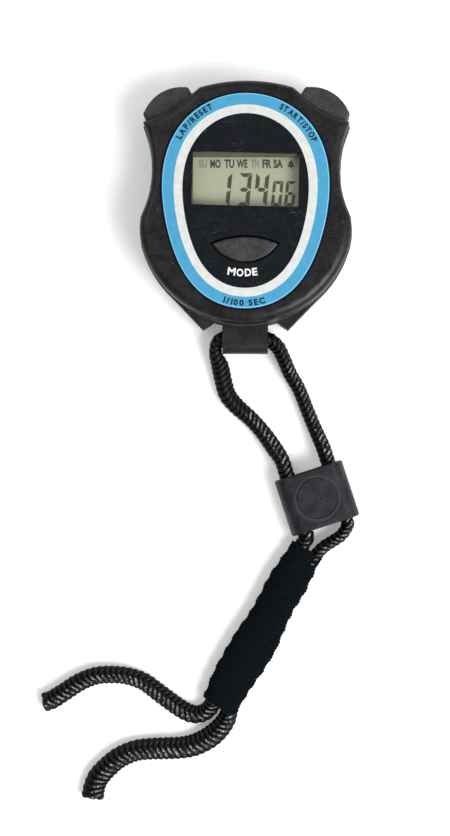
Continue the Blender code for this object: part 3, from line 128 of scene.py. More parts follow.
paper, tree, shader = new_look("white_paper", (0.82, 0.82, 0.82), 0.9, 0.1)
seen = tree.nodes.new("ShaderNodeLightPath")
shader.inputs["Emission Color"].default_value = (1, 1, 1, 1)
feed(tree, shader.inputs["Emission Strength"], times(tree, seen.outputs["Is Camera Ray"], PAPER_GLOW))
paper_mesh = bpy.data.meshes.new("floor")
corners = [(-PAPER_HALF, -PAPER_HALF, 0), (PAPER_HALF, -PAPER_HALF, 0),
           (PAPER_HALF, PAPER_HALF, 0), (-PAPER_HALF, PAPER_HALF, 0)]
paper_mesh.from_pydata(corners, [], [(0, 1, 2, 3)])
put_in_scene("floor", paper_mesh, paper)

room = bpy.data.worlds.new("studio")
bpy.context.scene.world = room
room.use_nodes = True
tree = room.node_tree
backdrop = tree.nodes["Background"]
backdrop.inputs["Color"].default_value = (1, 1, 1, 1)
direction = axes(tree, tree.nodes.new("ShaderNodeTexCoord").outputs["Generated"])
brighter = times(tree, direction["X"], ROOM_SLOPE)
feed(tree, backdrop.inputs["Strength"], calc(tree, "ADD", brighter, ROOM_LIGHT))


def lamp(name, place, size, power):
    data = bpy.data.lights.new(name, "AREA")
    data.shape = "RECTANGLE"
    data.size = data.size_y = size
    data.energy = power
    made = bpy.data.objects.new(name, data)
    bpy.context.scene.collection.objects.link(made)
    made.location = place
    made.rotation_mode = "QUATERNION"
    made.rotation_quaternion = (LAMP_AIM - Vector(place)).to_track_quat("-Z", "Y")


lamp("key", (0.55, -0.45, 0.75), 0.5, 11)
lamp("fill", (-0.6, 0.5, 0.8), 0.8, 3.5)


# Lanyard: one round cord of twelve plaited polyester strands, doubled through the lug.
# Both ends run on through the slider and the knit sleeve and end in cut tails.
# The strands' lay is in metres; CROSSING is how steeply each one climbs over the next.
PITCH = 0.0096
PITCH_STEPS = 24
STRANDS = 12
STRAND_WIDE = 0.00060
STRAND_THICK = 0.00045
STRAND_MIDDLE = 0.0015
FIRST_TURN = math.pi / 6
CROSSING = 1.8
# How far from the cord's middle the strands, its core and its outside lie, in mm.
STRAND_OVER = 1.75
STRAND_UNDER = 1.00
CORE = 1.42
CORD_FULL = 2.02
CORD_ROUND = 2.2
CORD_TALLEST = 2.25
# Places in mm. A route's row is x, y, level and half width; the cord is flatter where it is wide.
SLIDER_PLACE = (20.8, -79.6)
SLIDER_TURN = math.radians(18.4)
CORD_ASIDE = 2.4
CORD_GATHERED = 2.1
SLEEVE_LEVEL = 3.45
SLEEVE_LINE = [(16.4, -97.4), (13.1, -103.2), (9.8, -108.9), (6.9, -114.7), (3.8, -120.4), (0.3, -126.2),
               (-3.2, -131.9), (-5.9, -137.5)]


def in_slider(side, along, level, half):
    c, s = math.cos(SLIDER_TURN), math.sin(SLIDER_TURN)
    return (SLIDER_PLACE[0] + side * c - along * s, SLIDER_PLACE[1] + side * s + along * c, level, half)


def in_sleeve(side):
    rows = []
    for i, (x, y) in enumerate(SLEEVE_LINE):
        before = SLEEVE_LINE[max(i - 1, 0)]
        after = SLEEVE_LINE[min(i + 1, len(SLEEVE_LINE) - 1)]
        dx, dy = after[0] - before[0], after[1] - before[1]
        aside = side * CORD_ASIDE / math.hypot(dx, dy)
        rows.append((x - aside * dy, y + aside * dx, SLEEVE_LEVEL, CORD_GATHERED))
    return rows


LEFT_CORD = [
    (-0.25, -34, 5.95, 2.2), (-2.5, -34, 5.95, 2.2), (-4.9, -34, 5.95, 2.2), (-6.9, -34.5, 5.85, 2.1),
    (-8.3, -35.8, 5.15, 1.75), (-8.5, -38.5, 4.15, 1.85), (-7.3, -41.8, 3.0, 2.4), (-6.4, -45.8, 2.5, 2.4),
    (-5.1, -50.1, 2.3, 2.4), (-2.2, -53.6, 2.3, 2.3), (1.7, -57.0, 2.35, 2.2), (5.3, -61.0, 2.65, 2.2),
    (8.3, -65.2, 3.25, 2.3),
    in_slider(-6.2, 13.3, 4.1, 2.12), in_slider(-6.2, 9.3, 4.2, 2.1), in_slider(-6.2, 0, 4.2, 2.15),
    in_slider(-6.2, -8.9, 4.2, 2.15), (17.6, -91.7, 3.9, 2.1), (16.1, -93.8, 3.55, 2.1),
    *in_sleeve(-1),
    (-8.9, -139.1, 2.7, 2.3), (-10.8, -141.2, 2.3, 2.4), (-13.4, -142.0, 2.2, 2.45),
    (-16.1, -141.4, 2.2, 2.5), (-19.3, -139.5, 2.2, 2.5), (-23.9, -136.2, 2.2, 2.5),
    (-28.5, -132.9, 2.2, 2.45), (-33.2, -131.3, 2.2, 2.4), (-37.8, -130.9, 2.2, 2.4),
    (-42.4, -131.3, 2.2, 2.45), (-47.0, -133.1, 2.2, 2.5), (-51.6, -136.1, 2.2, 2.55),
    (-55.3, -138.4, 2.2, 2.6), (-57.7, -139.1, 2.2, 2.6)]
RIGHT_CORD = [
    (0.25, -34, 5.95, 2.2), (2.5, -34, 5.95, 2.2), (4.9, -34, 5.95, 2.15), (7.1, -34.6, 5.85, 2.1),
    (9.4, -36.5, 5.05, 2.0), (11.1, -39.8, 3.85, 1.95), (13.0, -44.0, 2.7, 1.95), (15.5, -48.3, 2.4, 1.9),
    (17.8, -54.0, 2.4, 1.9), (20.2, -59.8, 2.75, 1.95),
    in_slider(6.2, 13.3, 4.0, 2.05), in_slider(6.2, 9.3, 4.2, 2.0), in_slider(6.2, 0, 4.2, 1.9),
    in_slider(6.2, -9.1, 4.2, 1.8), (29.3, -88.1, 3.9, 1.7), (27.8, -90.3, 3.6, 1.7),
    (25.5, -91.9, 3.45, 1.7), (22.9, -93.6, 3.45, 1.75), (20.7, -95.9, 3.45, 1.8),
    *in_sleeve(1),
    (-4.3, -142.3, 2.8, 2.5), (-6.1, -145.3, 2.4, 2.8), (-8.6, -147.8, 2.3, 3.0),
    (-11.5, -149.7, 2.2, 3.05), (-14.7, -151.0, 2.2, 3.05), (-18.1, -151.6, 2.2, 3.0),
    (-21.6, -151.8, 2.2, 3.0), (-26.1, -152.0, 2.2, 2.95), (-30.7, -152.6, 2.2, 2.9),
    (-35.2, -154.5, 2.2, 2.9), (-38.7, -157.3, 2.2, 2.95), (-41.4, -160.3, 2.2, 3.0),
    (-42.6, -163.2, 2.2, 3.0), (-43.1, -166.4, 2.2, 3.1)]


def smooth_rows(rows, steps=5):
    # An even curve through all rows: each span's ends lean on their neighbours.
    made = []
    for i in range(len(rows) - 1):
        a, b, c, d = (Vector(rows[min(max(j, 0), len(rows) - 1)]) for j in (i - 1, i, i + 1, i + 2))
        for k in range(steps):
            t = k / steps
            made.append(0.5 * (2 * b + (c - a) * t + (2 * a - 5 * b + 4 * c - d) * t * t
                               + (3 * b - a - 3 * c + d) * t ** 3))
    made.append(Vector(rows[-1]))
    return made


def line_mesh(name, places, halves):
    # The path as a plain line of points, each with its half width and half height.
    mesh = bpy.data.meshes.new(name)
    mesh.from_pydata(places, [(i, i + 1) for i in range(len(places) - 1)], [])
    half = mesh.attributes.new("half", "FLOAT_VECTOR", "POINT")
    for i, (wide, high) in enumerate(halves):
        half.data[i].vector = (wide, high, 0)
    return mesh


def node_group(name, sizes):
    group = bpy.data.node_groups.new(name, "GeometryNodeTree")
    group.interface.new_socket("Geometry", in_out="INPUT", socket_type="NodeSocketGeometry")
    for label, value in sizes.items():
        kind = "NodeSocketInt" if isinstance(value, int) else "NodeSocketFloat"
        group.interface.new_socket(label, in_out="INPUT", socket_type=kind)
    group.interface.new_socket("Material", in_out="INPUT", socket_type="NodeSocketMaterial")
    group.interface.new_socket("Geometry", in_out="OUTPUT", socket_type="NodeSocketGeometry")
    return group, group.nodes.new("NodeGroupInput").outputs


def add(group, kind, settings=None, **values):
    node = group.nodes.new(kind)
    for key, value in (settings or {}).items():
        setattr(node, key, value)
    for key, value in values.items():
        feed(group, node.inputs[key.replace("_", " ")], value)
    return node.outputs


def vector_calc(group, operation, a, b=None, scale=None):
    node = group.nodes.new("ShaderNodeVectorMath")
    node.operation = operation
    feed(group, node.inputs[0], a)
    if b is not None:
        feed(group, node.inputs[1], b)
    if scale is not None:
        feed(group, node.inputs["Scale"], scale)
    return node.outputs["Value" if operation in ("LENGTH", "DOT_PRODUCT") else "Vector"]


def on_route(group, route, distance):
    # Place, both side directions and half sizes at a distance along the path.
    half = add(group, "GeometryNodeInputNamedAttribute", {"data_type": "FLOAT_VECTOR"}, Name="half")[0]
    sample = group.nodes.new("GeometryNodeSampleCurve")
    sample.mode = "LENGTH"
    sample.use_all_curves = False
    sample.data_type = "FLOAT_VECTOR"
    feed(group, sample.inputs["Curves"], route)
    feed(group, [s for s in sample.inputs if s.name == "Value" and s.enabled][0], half)
    feed(group, sample.inputs["Length"], distance)
    sizes = axes(group, [s for s in sample.outputs if s.name == "Value" and s.enabled][0])
    tangent, normal = sample.outputs["Tangent"], sample.outputs["Normal"]
    upward = vector_calc(group, "NORMALIZE", vector_calc(group, "CROSS_PRODUCT", tangent, normal))
    return sample.outputs["Position"], tangent, normal, upward, sizes["X"], sizes["Y"]


def beside(group, place, normal, upward, wide, high, angle):
    # The point at an angle round the path, on an oval of the given half sizes.
    out = vector_calc(group, "SCALE", normal, scale=times(group, calc(group, "COSINE", angle), wide))
    up = vector_calc(group, "SCALE", upward, scale=times(group, calc(group, "SINE", angle), high))
    return vector_calc(group, "ADD", place, vector_calc(group, "ADD", out, up))


def keep(group, geometry, label, value, kind="FLOAT"):
    return add(group, "GeometryNodeStoreNamedAttribute", {"data_type": kind, "domain": "POINT"},
               Geometry=geometry, Name=label, Value=value)[0]


def finish_group(group, geometry, material):
    solid = add(group, "GeometryNodeRealizeInstances", Geometry=geometry)[0]
    dressed = add(group, "GeometryNodeSetMaterial", Geometry=solid, Material=material)[0]
    feed(group, group.nodes.new("NodeGroupOutput").inputs[0], dressed)


def grow(name, source, group, sizes, material):
    # Runs the node group on the source mesh and keeps its result as a plain mesh.
    made = bpy.data.objects.new(name, source)
    bpy.context.scene.collection.objects.link(made)
    modifier = made.modifiers.new(name, "NODES")
    modifier.node_group = group
    for item in group.interface.items_tree:
        if item.in_out == "INPUT" and item.name in sizes:
            modifier[item.identifier] = sizes[item.name]
        elif item.in_out == "INPUT" and item.name == "Material":
            modifier[item.identifier] = material
    bpy.context.view_layer.update()
    graph = bpy.context.evaluated_depsgraph_get()
    mesh = bpy.data.meshes.new_from_object(made.evaluated_get(graph), preserve_all_data_layers=True,
                                           depsgraph=graph)
    made.modifiers.remove(modifier)
    made.data = mesh
    body = bmesh.new()
    body.from_mesh(mesh)
    bmesh.ops.remove_doubles(body, verts=body.verts, dist=1e-7)
    bmesh.ops.recalc_face_normals(body, faces=body.faces)
    body.to_mesh(mesh)
    body.free()
    mesh.materials.clear()
    mesh.materials.append(material)
    for face in mesh.polygons:
        face.use_smooth = True
    return made


braid_sizes = {"Length": 0.2, "Pitch": PITCH, "Strand half width": STRAND_WIDE,
               "Strand half thickness": STRAND_THICK, "Points along": 500, "Points round": 8}
braid, given = node_group("braid", braid_sizes)
route = add(braid, "GeometryNodeMeshToCurve", Mesh=given["Geometry"])[0]
route = add(braid, "GeometryNodeSetCurveNormal", {"mode": "Z_UP"}, Curve=route)[0]
rounds = calc(braid, "ADD", given["Points round"], 1)
grid = add(braid, "GeometryNodeMeshGrid", Vertices_X=given["Points along"], Vertices_Y=rounds)[0]
starts = add(braid, "GeometryNodePoints", Count=STRANDS + 1)[0]
starts = keep(braid, starts, "strand", add(braid, "GeometryNodeInputIndex")[0])
strands = add(braid, "GeometryNodeInstanceOnPoints", Points=starts, Instance=grid)[0]
strands = add(braid, "GeometryNodeRealizeInstances", Geometry=strands)[0]
strand = add(braid, "GeometryNodeInputNamedAttribute", {"data_type": "FLOAT"}, Name="strand")[0]
# Each strand starts as a flat grid: its length runs along the cord, its width round the strand.
flat = axes(braid, add(braid, "GeometryNodeInputPosition")[0])
along = calc(braid, "ADD", flat["X"], 0.5)
around = times(braid, calc(braid, "ADD", flat["Y"], 0.5), math.tau)
# Half of the strands wind one way and half the other; the last grid is the core.
is_core = calc(braid, "GREATER_THAN", strand, STRANDS - 0.5)
backward = calc(braid, "GREATER_THAN", strand, STRANDS / 2 - 0.5)
way = calc(braid, "SUBTRACT", 1, times(braid, 2, backward))
distance = times(braid, along, given["Length"])
turn = times(braid, way, calc(braid, "DIVIDE", times(braid, distance, math.tau), given["Pitch"]))
turn = calc(braid, "ADD", turn, times(braid, strand, 2 * math.tau / STRANDS))
# Where a strand crosses another, it lies over it and under the next in turn.
cross = times(braid, calc(braid, "SINE", times(braid, turn, 2)), CROSSING)
cross = times(braid, calc(braid, "MINIMUM", calc(braid, "MAXIMUM", cross, -1), 1), way)
radius = calc(braid, "ADD", (STRAND_OVER + STRAND_UNDER) / 2,
              times(braid, cross, (STRAND_OVER - STRAND_UNDER) / 2))
over = times(braid, cross, calc(braid, "SINE", around))
# A strand's section leans with its lay and closes at both ends of the cord.
lean = math.atan(math.tau * STRAND_MIDDLE / PITCH)
end_gap = calc(braid, "MINIMUM", along, calc(braid, "SUBTRACT", 1, along))
last_point = calc(braid, "SUBTRACT", given["Points along"], 1)
closing = calc(braid, "MINIMUM", 1, times(braid, end_gap, last_point))
reach = times(braid, calc(braid, "COSINE", around), closing, given["Strand half width"])
swell = times(braid, calc(braid, "SINE", around), closing, given["Strand half thickness"], 1000)
strand_at = calc(braid, "SUBTRACT", distance, times(braid, reach, math.sin(lean), way))
strand_turn = calc(braid, "ADD", calc(braid, "ADD", turn, FIRST_TURN),
                   times(braid, reach, math.cos(lean) / STRAND_MIDDLE))
strand_radius = calc(braid, "ADD", radius, swell)
core_radius = times(braid, closing, CORE)


def mixed(plain, core):
    difference = calc(braid, "SUBTRACT", core, plain)
    return calc(braid, "ADD", plain, times(braid, is_core, difference))


at = mixed(strand_at, distance)
angle = mixed(strand_turn, around)
share = calc(braid, "DIVIDE", mixed(strand_radius, core_radius), CORD_FULL)
place, tangent, normal, upward, wide, high = on_route(braid, route, at)
spot = beside(braid, place, normal, upward, times(braid, wide, share), times(braid, high, share), angle)
fibre = add(braid, "ShaderNodeCombineXYZ", X=distance, Y=around, Z=strand)[0]
# Kept for the material before the grids move, because all three read the flat places.
strands = keep(braid, strands, "fibre", fibre, "FLOAT_VECTOR")
strands = keep(braid, strands, "over", over)
strands = keep(braid, strands, "side", calc(braid, "COSINE", strand_turn))
strands = add(braid, "GeometryNodeSetPosition", Geometry=strands, Position=spot)[0]
finish_group(braid, strands, given["Material"])


def noise(tree, coordinates, scale, detail=2.0, roughness=0.5, distortion=0.0):
    node = tree.nodes.new("ShaderNodeTexNoise")
    feed(tree, node.inputs["Vector"], coordinates)
    node.inputs["Scale"].default_value = scale
    node.inputs["Detail"].default_value = detail
    node.inputs["Roughness"].default_value = roughness
    node.inputs["Distortion"].default_value = distortion
    return node.outputs["Fac"]


def blend_colours(tree, amount, low, high, start=0.0, end=1.0):
    node = tree.nodes.new("ShaderNodeValToRGB")
    feed(tree, node.inputs["Fac"], amount)
    first, last = node.color_ramp.elements
    first.position, last.position = start, end
    first.color, last.color = (*low, 1), (*high, 1)
    return node.outputs["Color"]


def relief(tree, shader, height, depth, strength=1.0):
    node = tree.nodes.new("ShaderNodeBump")
    node.inputs["Strength"].default_value = strength
    node.inputs["Distance"].default_value = depth
    feed(tree, node.inputs["Height"], height)
    feed(tree, shader.inputs["Normal"], node.outputs["Normal"])


def object_place(tree):
    return tree.nodes.new("ShaderNodeTexCoord").outputs["Object"]


# Painted glints: a silvery base colour on the crests of those strands that lean towards the lamp, and
# painted shade that dims them by the lug.
CORD_BLACK = (0.0022, 0.0022, 0.0026)
PAINTED_GLINT = (0.30, 0.30, 0.31)
GLINT_CREST = 0.86
GLINT_BITS = 0.49
GLINT_SIDE = 0.14
LUG_PAINTED_SHADE = 0.85
LUG_SLOPE = 1.2
LUG_REACH = -0.056
polyester, tree, shader = new_look("black_polyester", (0.002, 0.002, 0.0025), 0.42, 0.22)
fibre_place = tree.nodes.new("ShaderNodeAttribute")
fibre_place.attribute_name = "fibre"
stretched = tree.nodes.new("ShaderNodeMapping")
stretched.inputs["Scale"].default_value = (620, 0.5, 3.1)
feed(tree, stretched.inputs["Vector"], fibre_place.outputs["Vector"])
threads = noise(tree, stretched.outputs["Vector"], 1.6, 3)
crest = tree.nodes.new("ShaderNodeAttribute")
crest.attribute_name = "over"
facing_side = tree.nodes.new("ShaderNodeAttribute")
facing_side.attribute_name = "side"
bits = noise(tree, object_place(tree), 1500, 2)
spot = axes(tree, object_place(tree))
# Painted shade: by the lug, where the cord lies in shade, the painted glints are dimmed.
past = calc(tree, "SUBTRACT", spot["Y"], times(tree, spot["X"], LUG_SLOPE))
lug_shade_area = calc(tree, "GREATER_THAN", past, LUG_REACH)
painted_glints = times(tree, calc(tree, "GREATER_THAN", crest.outputs["Fac"], GLINT_CREST),
              calc(tree, "GREATER_THAN", bits, GLINT_BITS),
              calc(tree, "LESS_THAN", facing_side.outputs["Fac"], GLINT_SIDE),
              calc(tree, "SUBTRACT", 1, times(tree, lug_shade_area, LUG_PAINTED_SHADE)))
feed(tree, shader.inputs["Base Color"],
     blend_colours(tree, times(tree, painted_glints, threads), CORD_BLACK, PAINTED_GLINT, 0.34, 0.62))
relief(tree, shader, threads, 0.00010, 0.6)

for name, rows in (("left", LEFT_CORD), ("right", RIGHT_CORD)):
    smooth = smooth_rows(rows)
    places = [(row[0] / 1000, row[1] / 1000, row[2] / 1000) for row in smooth]
    halves = [(row[3] / 1000, min(CORD_ROUND ** 2 / row[3], CORD_TALLEST, row[2]) / 1000) for row in smooth]
    length = sum((Vector(b) - Vector(a)).length for a, b in zip(places, places[1:]))
    values = dict(braid_sizes)
    values["Length"] = length
    values["Points along"] = int(length / PITCH * PITCH_STEPS)
    cord = grow("braid_" + name, line_mesh("route_" + name, places, halves), braid, values, polyester)
    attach(cord, "case")
    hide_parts("cord_" + name)


# Knit sleeve: a soft nylon tube in fine plain stitch that gathers both runs of the cord.
# It is stretched over them, swells in its middle and its edges wave a little.
# Each row gives the share of its length, then half width and half height in mm.
SLEEVE_HALVES = [(0.0, 4.6, 2.9), (0.09, 4.95, 3.1), (0.22, 5.55, 3.25), (0.34, 5.2, 3.2),
                 (0.46, 5.45, 3.25), (0.58, 6.15, 3.25), (0.71, 6.1, 3.25), (0.84, 5.7, 3.2),
                 (0.95, 5.25, 3.1), (1.0, 5.1, 3.0)]
SLEEVE_TOP = (18.2, -94.4)
SLEEVE_FOOT = (-7.0, -139.4)
SLEEVE_WALL = 0.0006
EDGE_WAVES = [(0.00018, 1400), (0.0001, 3300)]
STITCH = 0.00092
STITCH_COLUMNS = 30
STITCH_LEAN = math.radians(24)
STITCH_SHAPE = (0.27, 0.60, 0.22)


def sleeve_half(share):
    for (a, wide, high), (b, next_wide, next_high) in zip(SLEEVE_HALVES, SLEEVE_HALVES[1:]):
        if share <= b:
            t = (share - a) / (b - a)
            return (wide + (next_wide - wide) * t) / 1000, (high + (next_high - high) * t) / 1000
    return SLEEVE_HALVES[-1][1] / 1000, SLEEVE_HALVES[-1][2] / 1000


middle = [Vector((row[0] / 1000, row[1] / 1000, SLEEVE_LEVEL / 1000))
          for row in smooth_rows([SLEEVE_TOP, *SLEEVE_LINE, SLEEVE_FOOT])]
run = [0.0]
for a, b in zip(middle, middle[1:]):
    run.append(run[-1] + (b - a).length)
sleeve_length = run[-1]
halves = []
for at_length in run:
    wide, high = sleeve_half(at_length / sleeve_length)
    wave = sum(tall * math.sin(at_length * rate) for tall, rate in EDGE_WAVES)
    halves.append((wide + wave, high))


def tube_mesh(name, centres, outer, wall, around=48):
    # A closed tube with an inner and an outer wall, lying level along its middle line.
    points, faces = [], []
    for skin in (0, 1):
        for i, centre in enumerate(centres):
            ahead = (centres[min(i + 1, len(centres) - 1)] - centres[max(i - 1, 0)]).normalized()
            aside = Vector((ahead.y, -ahead.x, 0)).normalized()
            for k in range(around):
                angle = math.tau * k / around
                wide, high = outer[i][0] - skin * wall, outer[i][1] - skin * wall
                rise = Vector((0, 0, math.sin(angle) * high))
                points.append(centre + aside * (math.cos(angle) * wide) + rise)
    count = len(centres)
    for skin in (0, 1):
        for i in range(count - 1):
            for k in range(around):
                ring = (skin * count + i) * around
                a, b = ring + k, ring + (k + 1) % around
                faces.append((a, b, b + around, a + around))
    for i in (0, count - 1):
        for k in range(around):
            a, b = i * around + k, i * around + (k + 1) % around
            faces.append((a, b, b + count * around, a + count * around))
    mesh = bpy.data.meshes.new(name)
    mesh.from_pydata(points, [], faces)
    body = bmesh.new()
    body.from_mesh(mesh)
    bmesh.ops.recalc_face_normals(body, faces=body.faces)
    body.to_mesh(mesh)
    body.free()
    for face in mesh.polygons:
        face.use_smooth = True
    return mesh


nylon, tree, shader = new_look("navy_black_knit", (0.004, 0.006, 0.009), 0.9, 0.06)
tufts = noise(tree, object_place(tree), 2600, 3)
feed(tree, shader.inputs["Base Color"],
     blend_colours(tree, tufts, (0.001, 0.002, 0.003), (0.006, 0.009, 0.012), 0.35, 0.7))
relief(tree, shader, tufts, 0.00008, 0.6)
sleeve = put_in_scene("sleeve_cloth", tube_mesh("sleeve_cloth", middle, halves, SLEEVE_WALL), nylon)
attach(sleeve, "case")
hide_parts("knit_sleeve")

knit_sizes = {"Rows": int(sleeve_length / STITCH), "Columns": STITCH_COLUMNS, "Length": sleeve_length,
              "Stitch": STITCH}
knit, given = node_group("knit", knit_sizes)
route = add(knit, "GeometryNodeMeshToCurve", Mesh=given["Geometry"])[0]
route = add(knit, "GeometryNodeSetCurveNormal", {"mode": "Z_UP"}, Curve=route)[0]
number = add(knit, "GeometryNodeInputIndex")[0]
row = calc(knit, "FLOOR", calc(knit, "DIVIDE", number, given["Columns"]))
column = calc(knit, "MODULO", number, given["Columns"])
share = calc(knit, "DIVIDE", calc(knit, "ADD", row, 0.5), given["Rows"])
distance = times(knit, share, given["Length"])
angle = times(knit, calc(knit, "DIVIDE", column, given["Columns"]), math.tau)
place, tangent, normal, upward, wide, high = on_route(knit, route, distance)
spot = beside(knit, place, normal, upward, wide, high, angle)
# With its half sizes swapped, the same oval's point lies square out from the sleeve.
facing = vector_calc(knit, "SUBTRACT", beside(knit, place, normal, upward, high, wide, angle), place)
turned = add(knit, "FunctionNodeAlignRotationToVector", {"axis": "Z"}, Vector=facing)[0]
turned = add(knit, "FunctionNodeAlignRotationToVector", {"axis": "Y", "pivot_axis": "Z"}, Rotation=turned,
             Vector=tangent)[0]
lobes = add(knit, "GeometryNodeJoinGeometry")
for side in (-1, 1):
    ball = add(knit, "GeometryNodeMeshUVSphere", Segments=6, Rings=4, Radius=given["Stitch"])[0]
    shift = add(knit, "ShaderNodeCombineXYZ", X=times(knit, given["Stitch"], STITCH_SHAPE[0] * side))[0]
    lobe = add(knit, "GeometryNodeTransform", Geometry=ball, Translation=shift,
               Rotation=(0, 0, STITCH_LEAN * side), Scale=STITCH_SHAPE)[0]
    knit.links.new(lobe, lobes[0].node.inputs[0])
total = times(knit, given["Rows"], given["Columns"])
seats = add(knit, "GeometryNodePoints", Count=total)[0]
seats = add(knit, "GeometryNodeSetPosition", Geometry=seats, Position=spot)[0]
stitches = add(knit, "GeometryNodeInstanceOnPoints", Points=seats, Instance=lobes[0], Rotation=turned)[0]
finish_group(knit, stitches, given["Material"])
stitches = grow("sleeve_stitches", line_mesh("sleeve_route", middle, halves), knit, knit_sizes, nylon)
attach(stitches, "case")
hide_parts("knit_sleeve")


# Cord slider: one moulded block of dark grey plastic with two bores for the cord.
# Its face carries two shallow rings and a fine spark-eroded grain; the face itself is bare.
RING_RADII = (0.00674, 0.00620)
RING_HALF = 0.00010
RING_HIGHLIGHT_GREY = (0.075, 0.08, 0.085)
RING_HIGHLIGHT_SHARE = 0.55
CLOUD_SCALE = 260
DUST = (0.35, 0.35, 0.34, 1)
DUST_SCALE = 700
DUST_SIZE = 0.10
DUST_FREE = 0.63


def pick(tree, amount, low, high):
    node = tree.nodes.new("ShaderNodeMix")
    node.data_type = "RGBA"
    feed(tree, node.inputs["Factor"], amount)
    feed(tree, node.inputs[6], low)
    feed(tree, node.inputs[7], high)
    return node.outputs[2]


def moulded(name, dark, light, roughness, grain, depth, specular=0.4, specks=0.0):
    # Moulded plastic: cloudy colour, fine grain and, where asked, a few specks of dust.
    made, tree, shader = new_look(name, dark, roughness, specular)
    where = object_place(tree)
    cloud = noise(tree, where, CLOUD_SCALE, 5, 0.65)
    fine = noise(tree, where, 1 / grain, 3, 0.6)
    both = times(tree, calc(tree, "ADD", cloud, fine), 0.5)
    colour = blend_colours(tree, both, dark, light, 0.41, 0.60)
    if specks:
        dots = tree.nodes.new("ShaderNodeTexVoronoi")
        feed(tree, dots.inputs["Vector"], where)
        dots.inputs["Scale"].default_value = DUST_SCALE
        near = calc(tree, "LESS_THAN", dots.outputs["Distance"], DUST_SIZE)
        rare = calc(tree, "GREATER_THAN", noise(tree, where, 430, 1), DUST_FREE)
        colour = pick(tree, times(tree, near, rare, specks), colour, DUST)
    feed(tree, shader.inputs["Base Color"], colour)
    rough = tree.nodes.new("ShaderNodeMapRange")
    feed(tree, rough.inputs["Value"], fine)
    rough.inputs["To Min"].default_value = roughness - 0.08
    rough.inputs["To Max"].default_value = roughness + 0.10
    feed(tree, shader.inputs["Roughness"], rough.outputs["Result"])
    relief(tree, shader, fine, depth, 0.8)
    return made


def smooth_copy(name, node, body, material, angle=32):
    # The piece's own shape with its corners joined, so that round edges shade evenly.
    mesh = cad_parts[node].data.copy()
    work = bmesh.new()
    work.from_mesh(mesh)
    bmesh.ops.remove_doubles(work, verts=work.verts, dist=2e-6)
    bmesh.ops.recalc_face_normals(work, faces=work.faces)
    for edge in work.edges:
        edge.smooth = len(edge.link_faces) == 2 and edge.calc_face_angle(0) < math.radians(angle)
    for face in work.faces:
        face.smooth = True
    work.to_mesh(mesh)
    work.free()
    made = put_in_scene(name, mesh, material)
    weigh = made.modifiers.new("weigh", "WEIGHTED_NORMAL")
    weigh.keep_sharp = True
    weigh.weight = 80
    bpy.context.view_layer.update()
    graph = bpy.context.evaluated_depsgraph_get()
    plain = bpy.data.meshes.new_from_object(made.evaluated_get(graph), preserve_all_data_layers=True,
                                            depsgraph=graph)
    made.modifiers.remove(weigh)
    made.data = plain
    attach(made, body)
    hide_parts(node)
    return made


def ring_highlights(material, middle):
    # Painted highlight along the edges of the round grooves, a little paler than the face round them.
    tree = material.node_tree
    colour = tree.nodes["Principled BSDF"].inputs["Base Color"]
    place = vector_calc(tree, "SUBTRACT", object_place(tree), middle)
    away = vector_calc(tree, "LENGTH", vector_calc(tree, "MULTIPLY", place, (1, 1, 0)))
    ringed = 0.0
    for radius in RING_RADII:
        off = calc(tree, "ABSOLUTE", calc(tree, "SUBTRACT", away, radius))
        ringed = calc(tree, "MAXIMUM", ringed, calc(tree, "LESS_THAN", off, RING_HALF))
    before = colour.links[0].from_socket
    feed(tree, colour, pick(tree, times(tree, ringed, RING_HIGHLIGHT_SHARE), before, (*RING_HIGHLIGHT_GREY, 1)))


slider_grey = moulded("slider_plastic", (0.003, 0.004, 0.006), (0.019, 0.021, 0.026), 0.40,
                      0.00040, 0.00006, 0.26)
# Painted highlight: pale lines on the rims of the slider's two grooves.
ring_highlights(slider_grey, (SLIDER_PLACE[0] / 1000, SLIDER_PLACE[1] / 1000, 0))
smooth_copy("slider_block", "cord_slider", "slider", slider_grey)


# Rear shell: the deeper half of the case, moulded in black plastic with a leathery grain.
# The lug for the cord and both shoulders beside it are part of it; four screws come up through it.
REAR_EDGE = (0.00976, 0.0100)


def between(tree, value, low, high):
    above = calc(tree, "GREATER_THAN", value, low)
    return times(tree, above, calc(tree, "LESS_THAN", value, high))


def edge_highlight(material, edge, colour, amount):
    # A painted highlight along the sharp edge at the parting line, broken into patches, where the edge
    # catches the lamp.
    tree = material.node_tree
    shader = tree.nodes["Principled BSDF"]
    where = object_place(tree)
    highlight_patches = calc(tree, "GREATER_THAN", noise(tree, where, 300, 3), 0.36)
    share = times(tree, between(tree, axes(tree, where)["Z"], *edge), highlight_patches, amount)
    before = shader.inputs["Base Color"].links[0].from_socket
    feed(tree, shader.inputs["Base Color"], pick(tree, share, before, (*colour, 1)))


rear_black = moulded("rear_plastic", (0.002, 0.002, 0.003), (0.018, 0.018, 0.019), 0.46,
                     0.00045, 0.00010, 0.26, 0.5)
# Painted highlight in a band at the level of the rear shell's top edge, along the parting line.
edge_highlight(rear_black, REAR_EDGE, (0.10, 0.10, 0.10), 0.6)
smooth_copy("rear_half", "rear_shell", "case", rear_black)


# Battery door and the screws: a flush cover in the back's own plastic, held by one screw.
# All screws are small zinc-plated steel ones; the plating is bright, fine-turned and slightly yellow.
def metal(name, dark, light, roughness, grain, depth, stretch=(1, 1, 1)):
    made, tree, shader = new_look(name, light, roughness, 0.5, 1.0)
    spread = tree.nodes.new("ShaderNodeMapping")
    spread.inputs["Scale"].default_value = stretch
    feed(tree, spread.inputs["Vector"], object_place(tree))
    fine = noise(tree, spread.outputs["Vector"], 1 / grain, 3, 0.6)
    feed(tree, shader.inputs["Base Color"], blend_colours(tree, fine, dark, light, 0.3, 0.7))
    relief(tree, shader, fine, depth, 0.5)
    return made


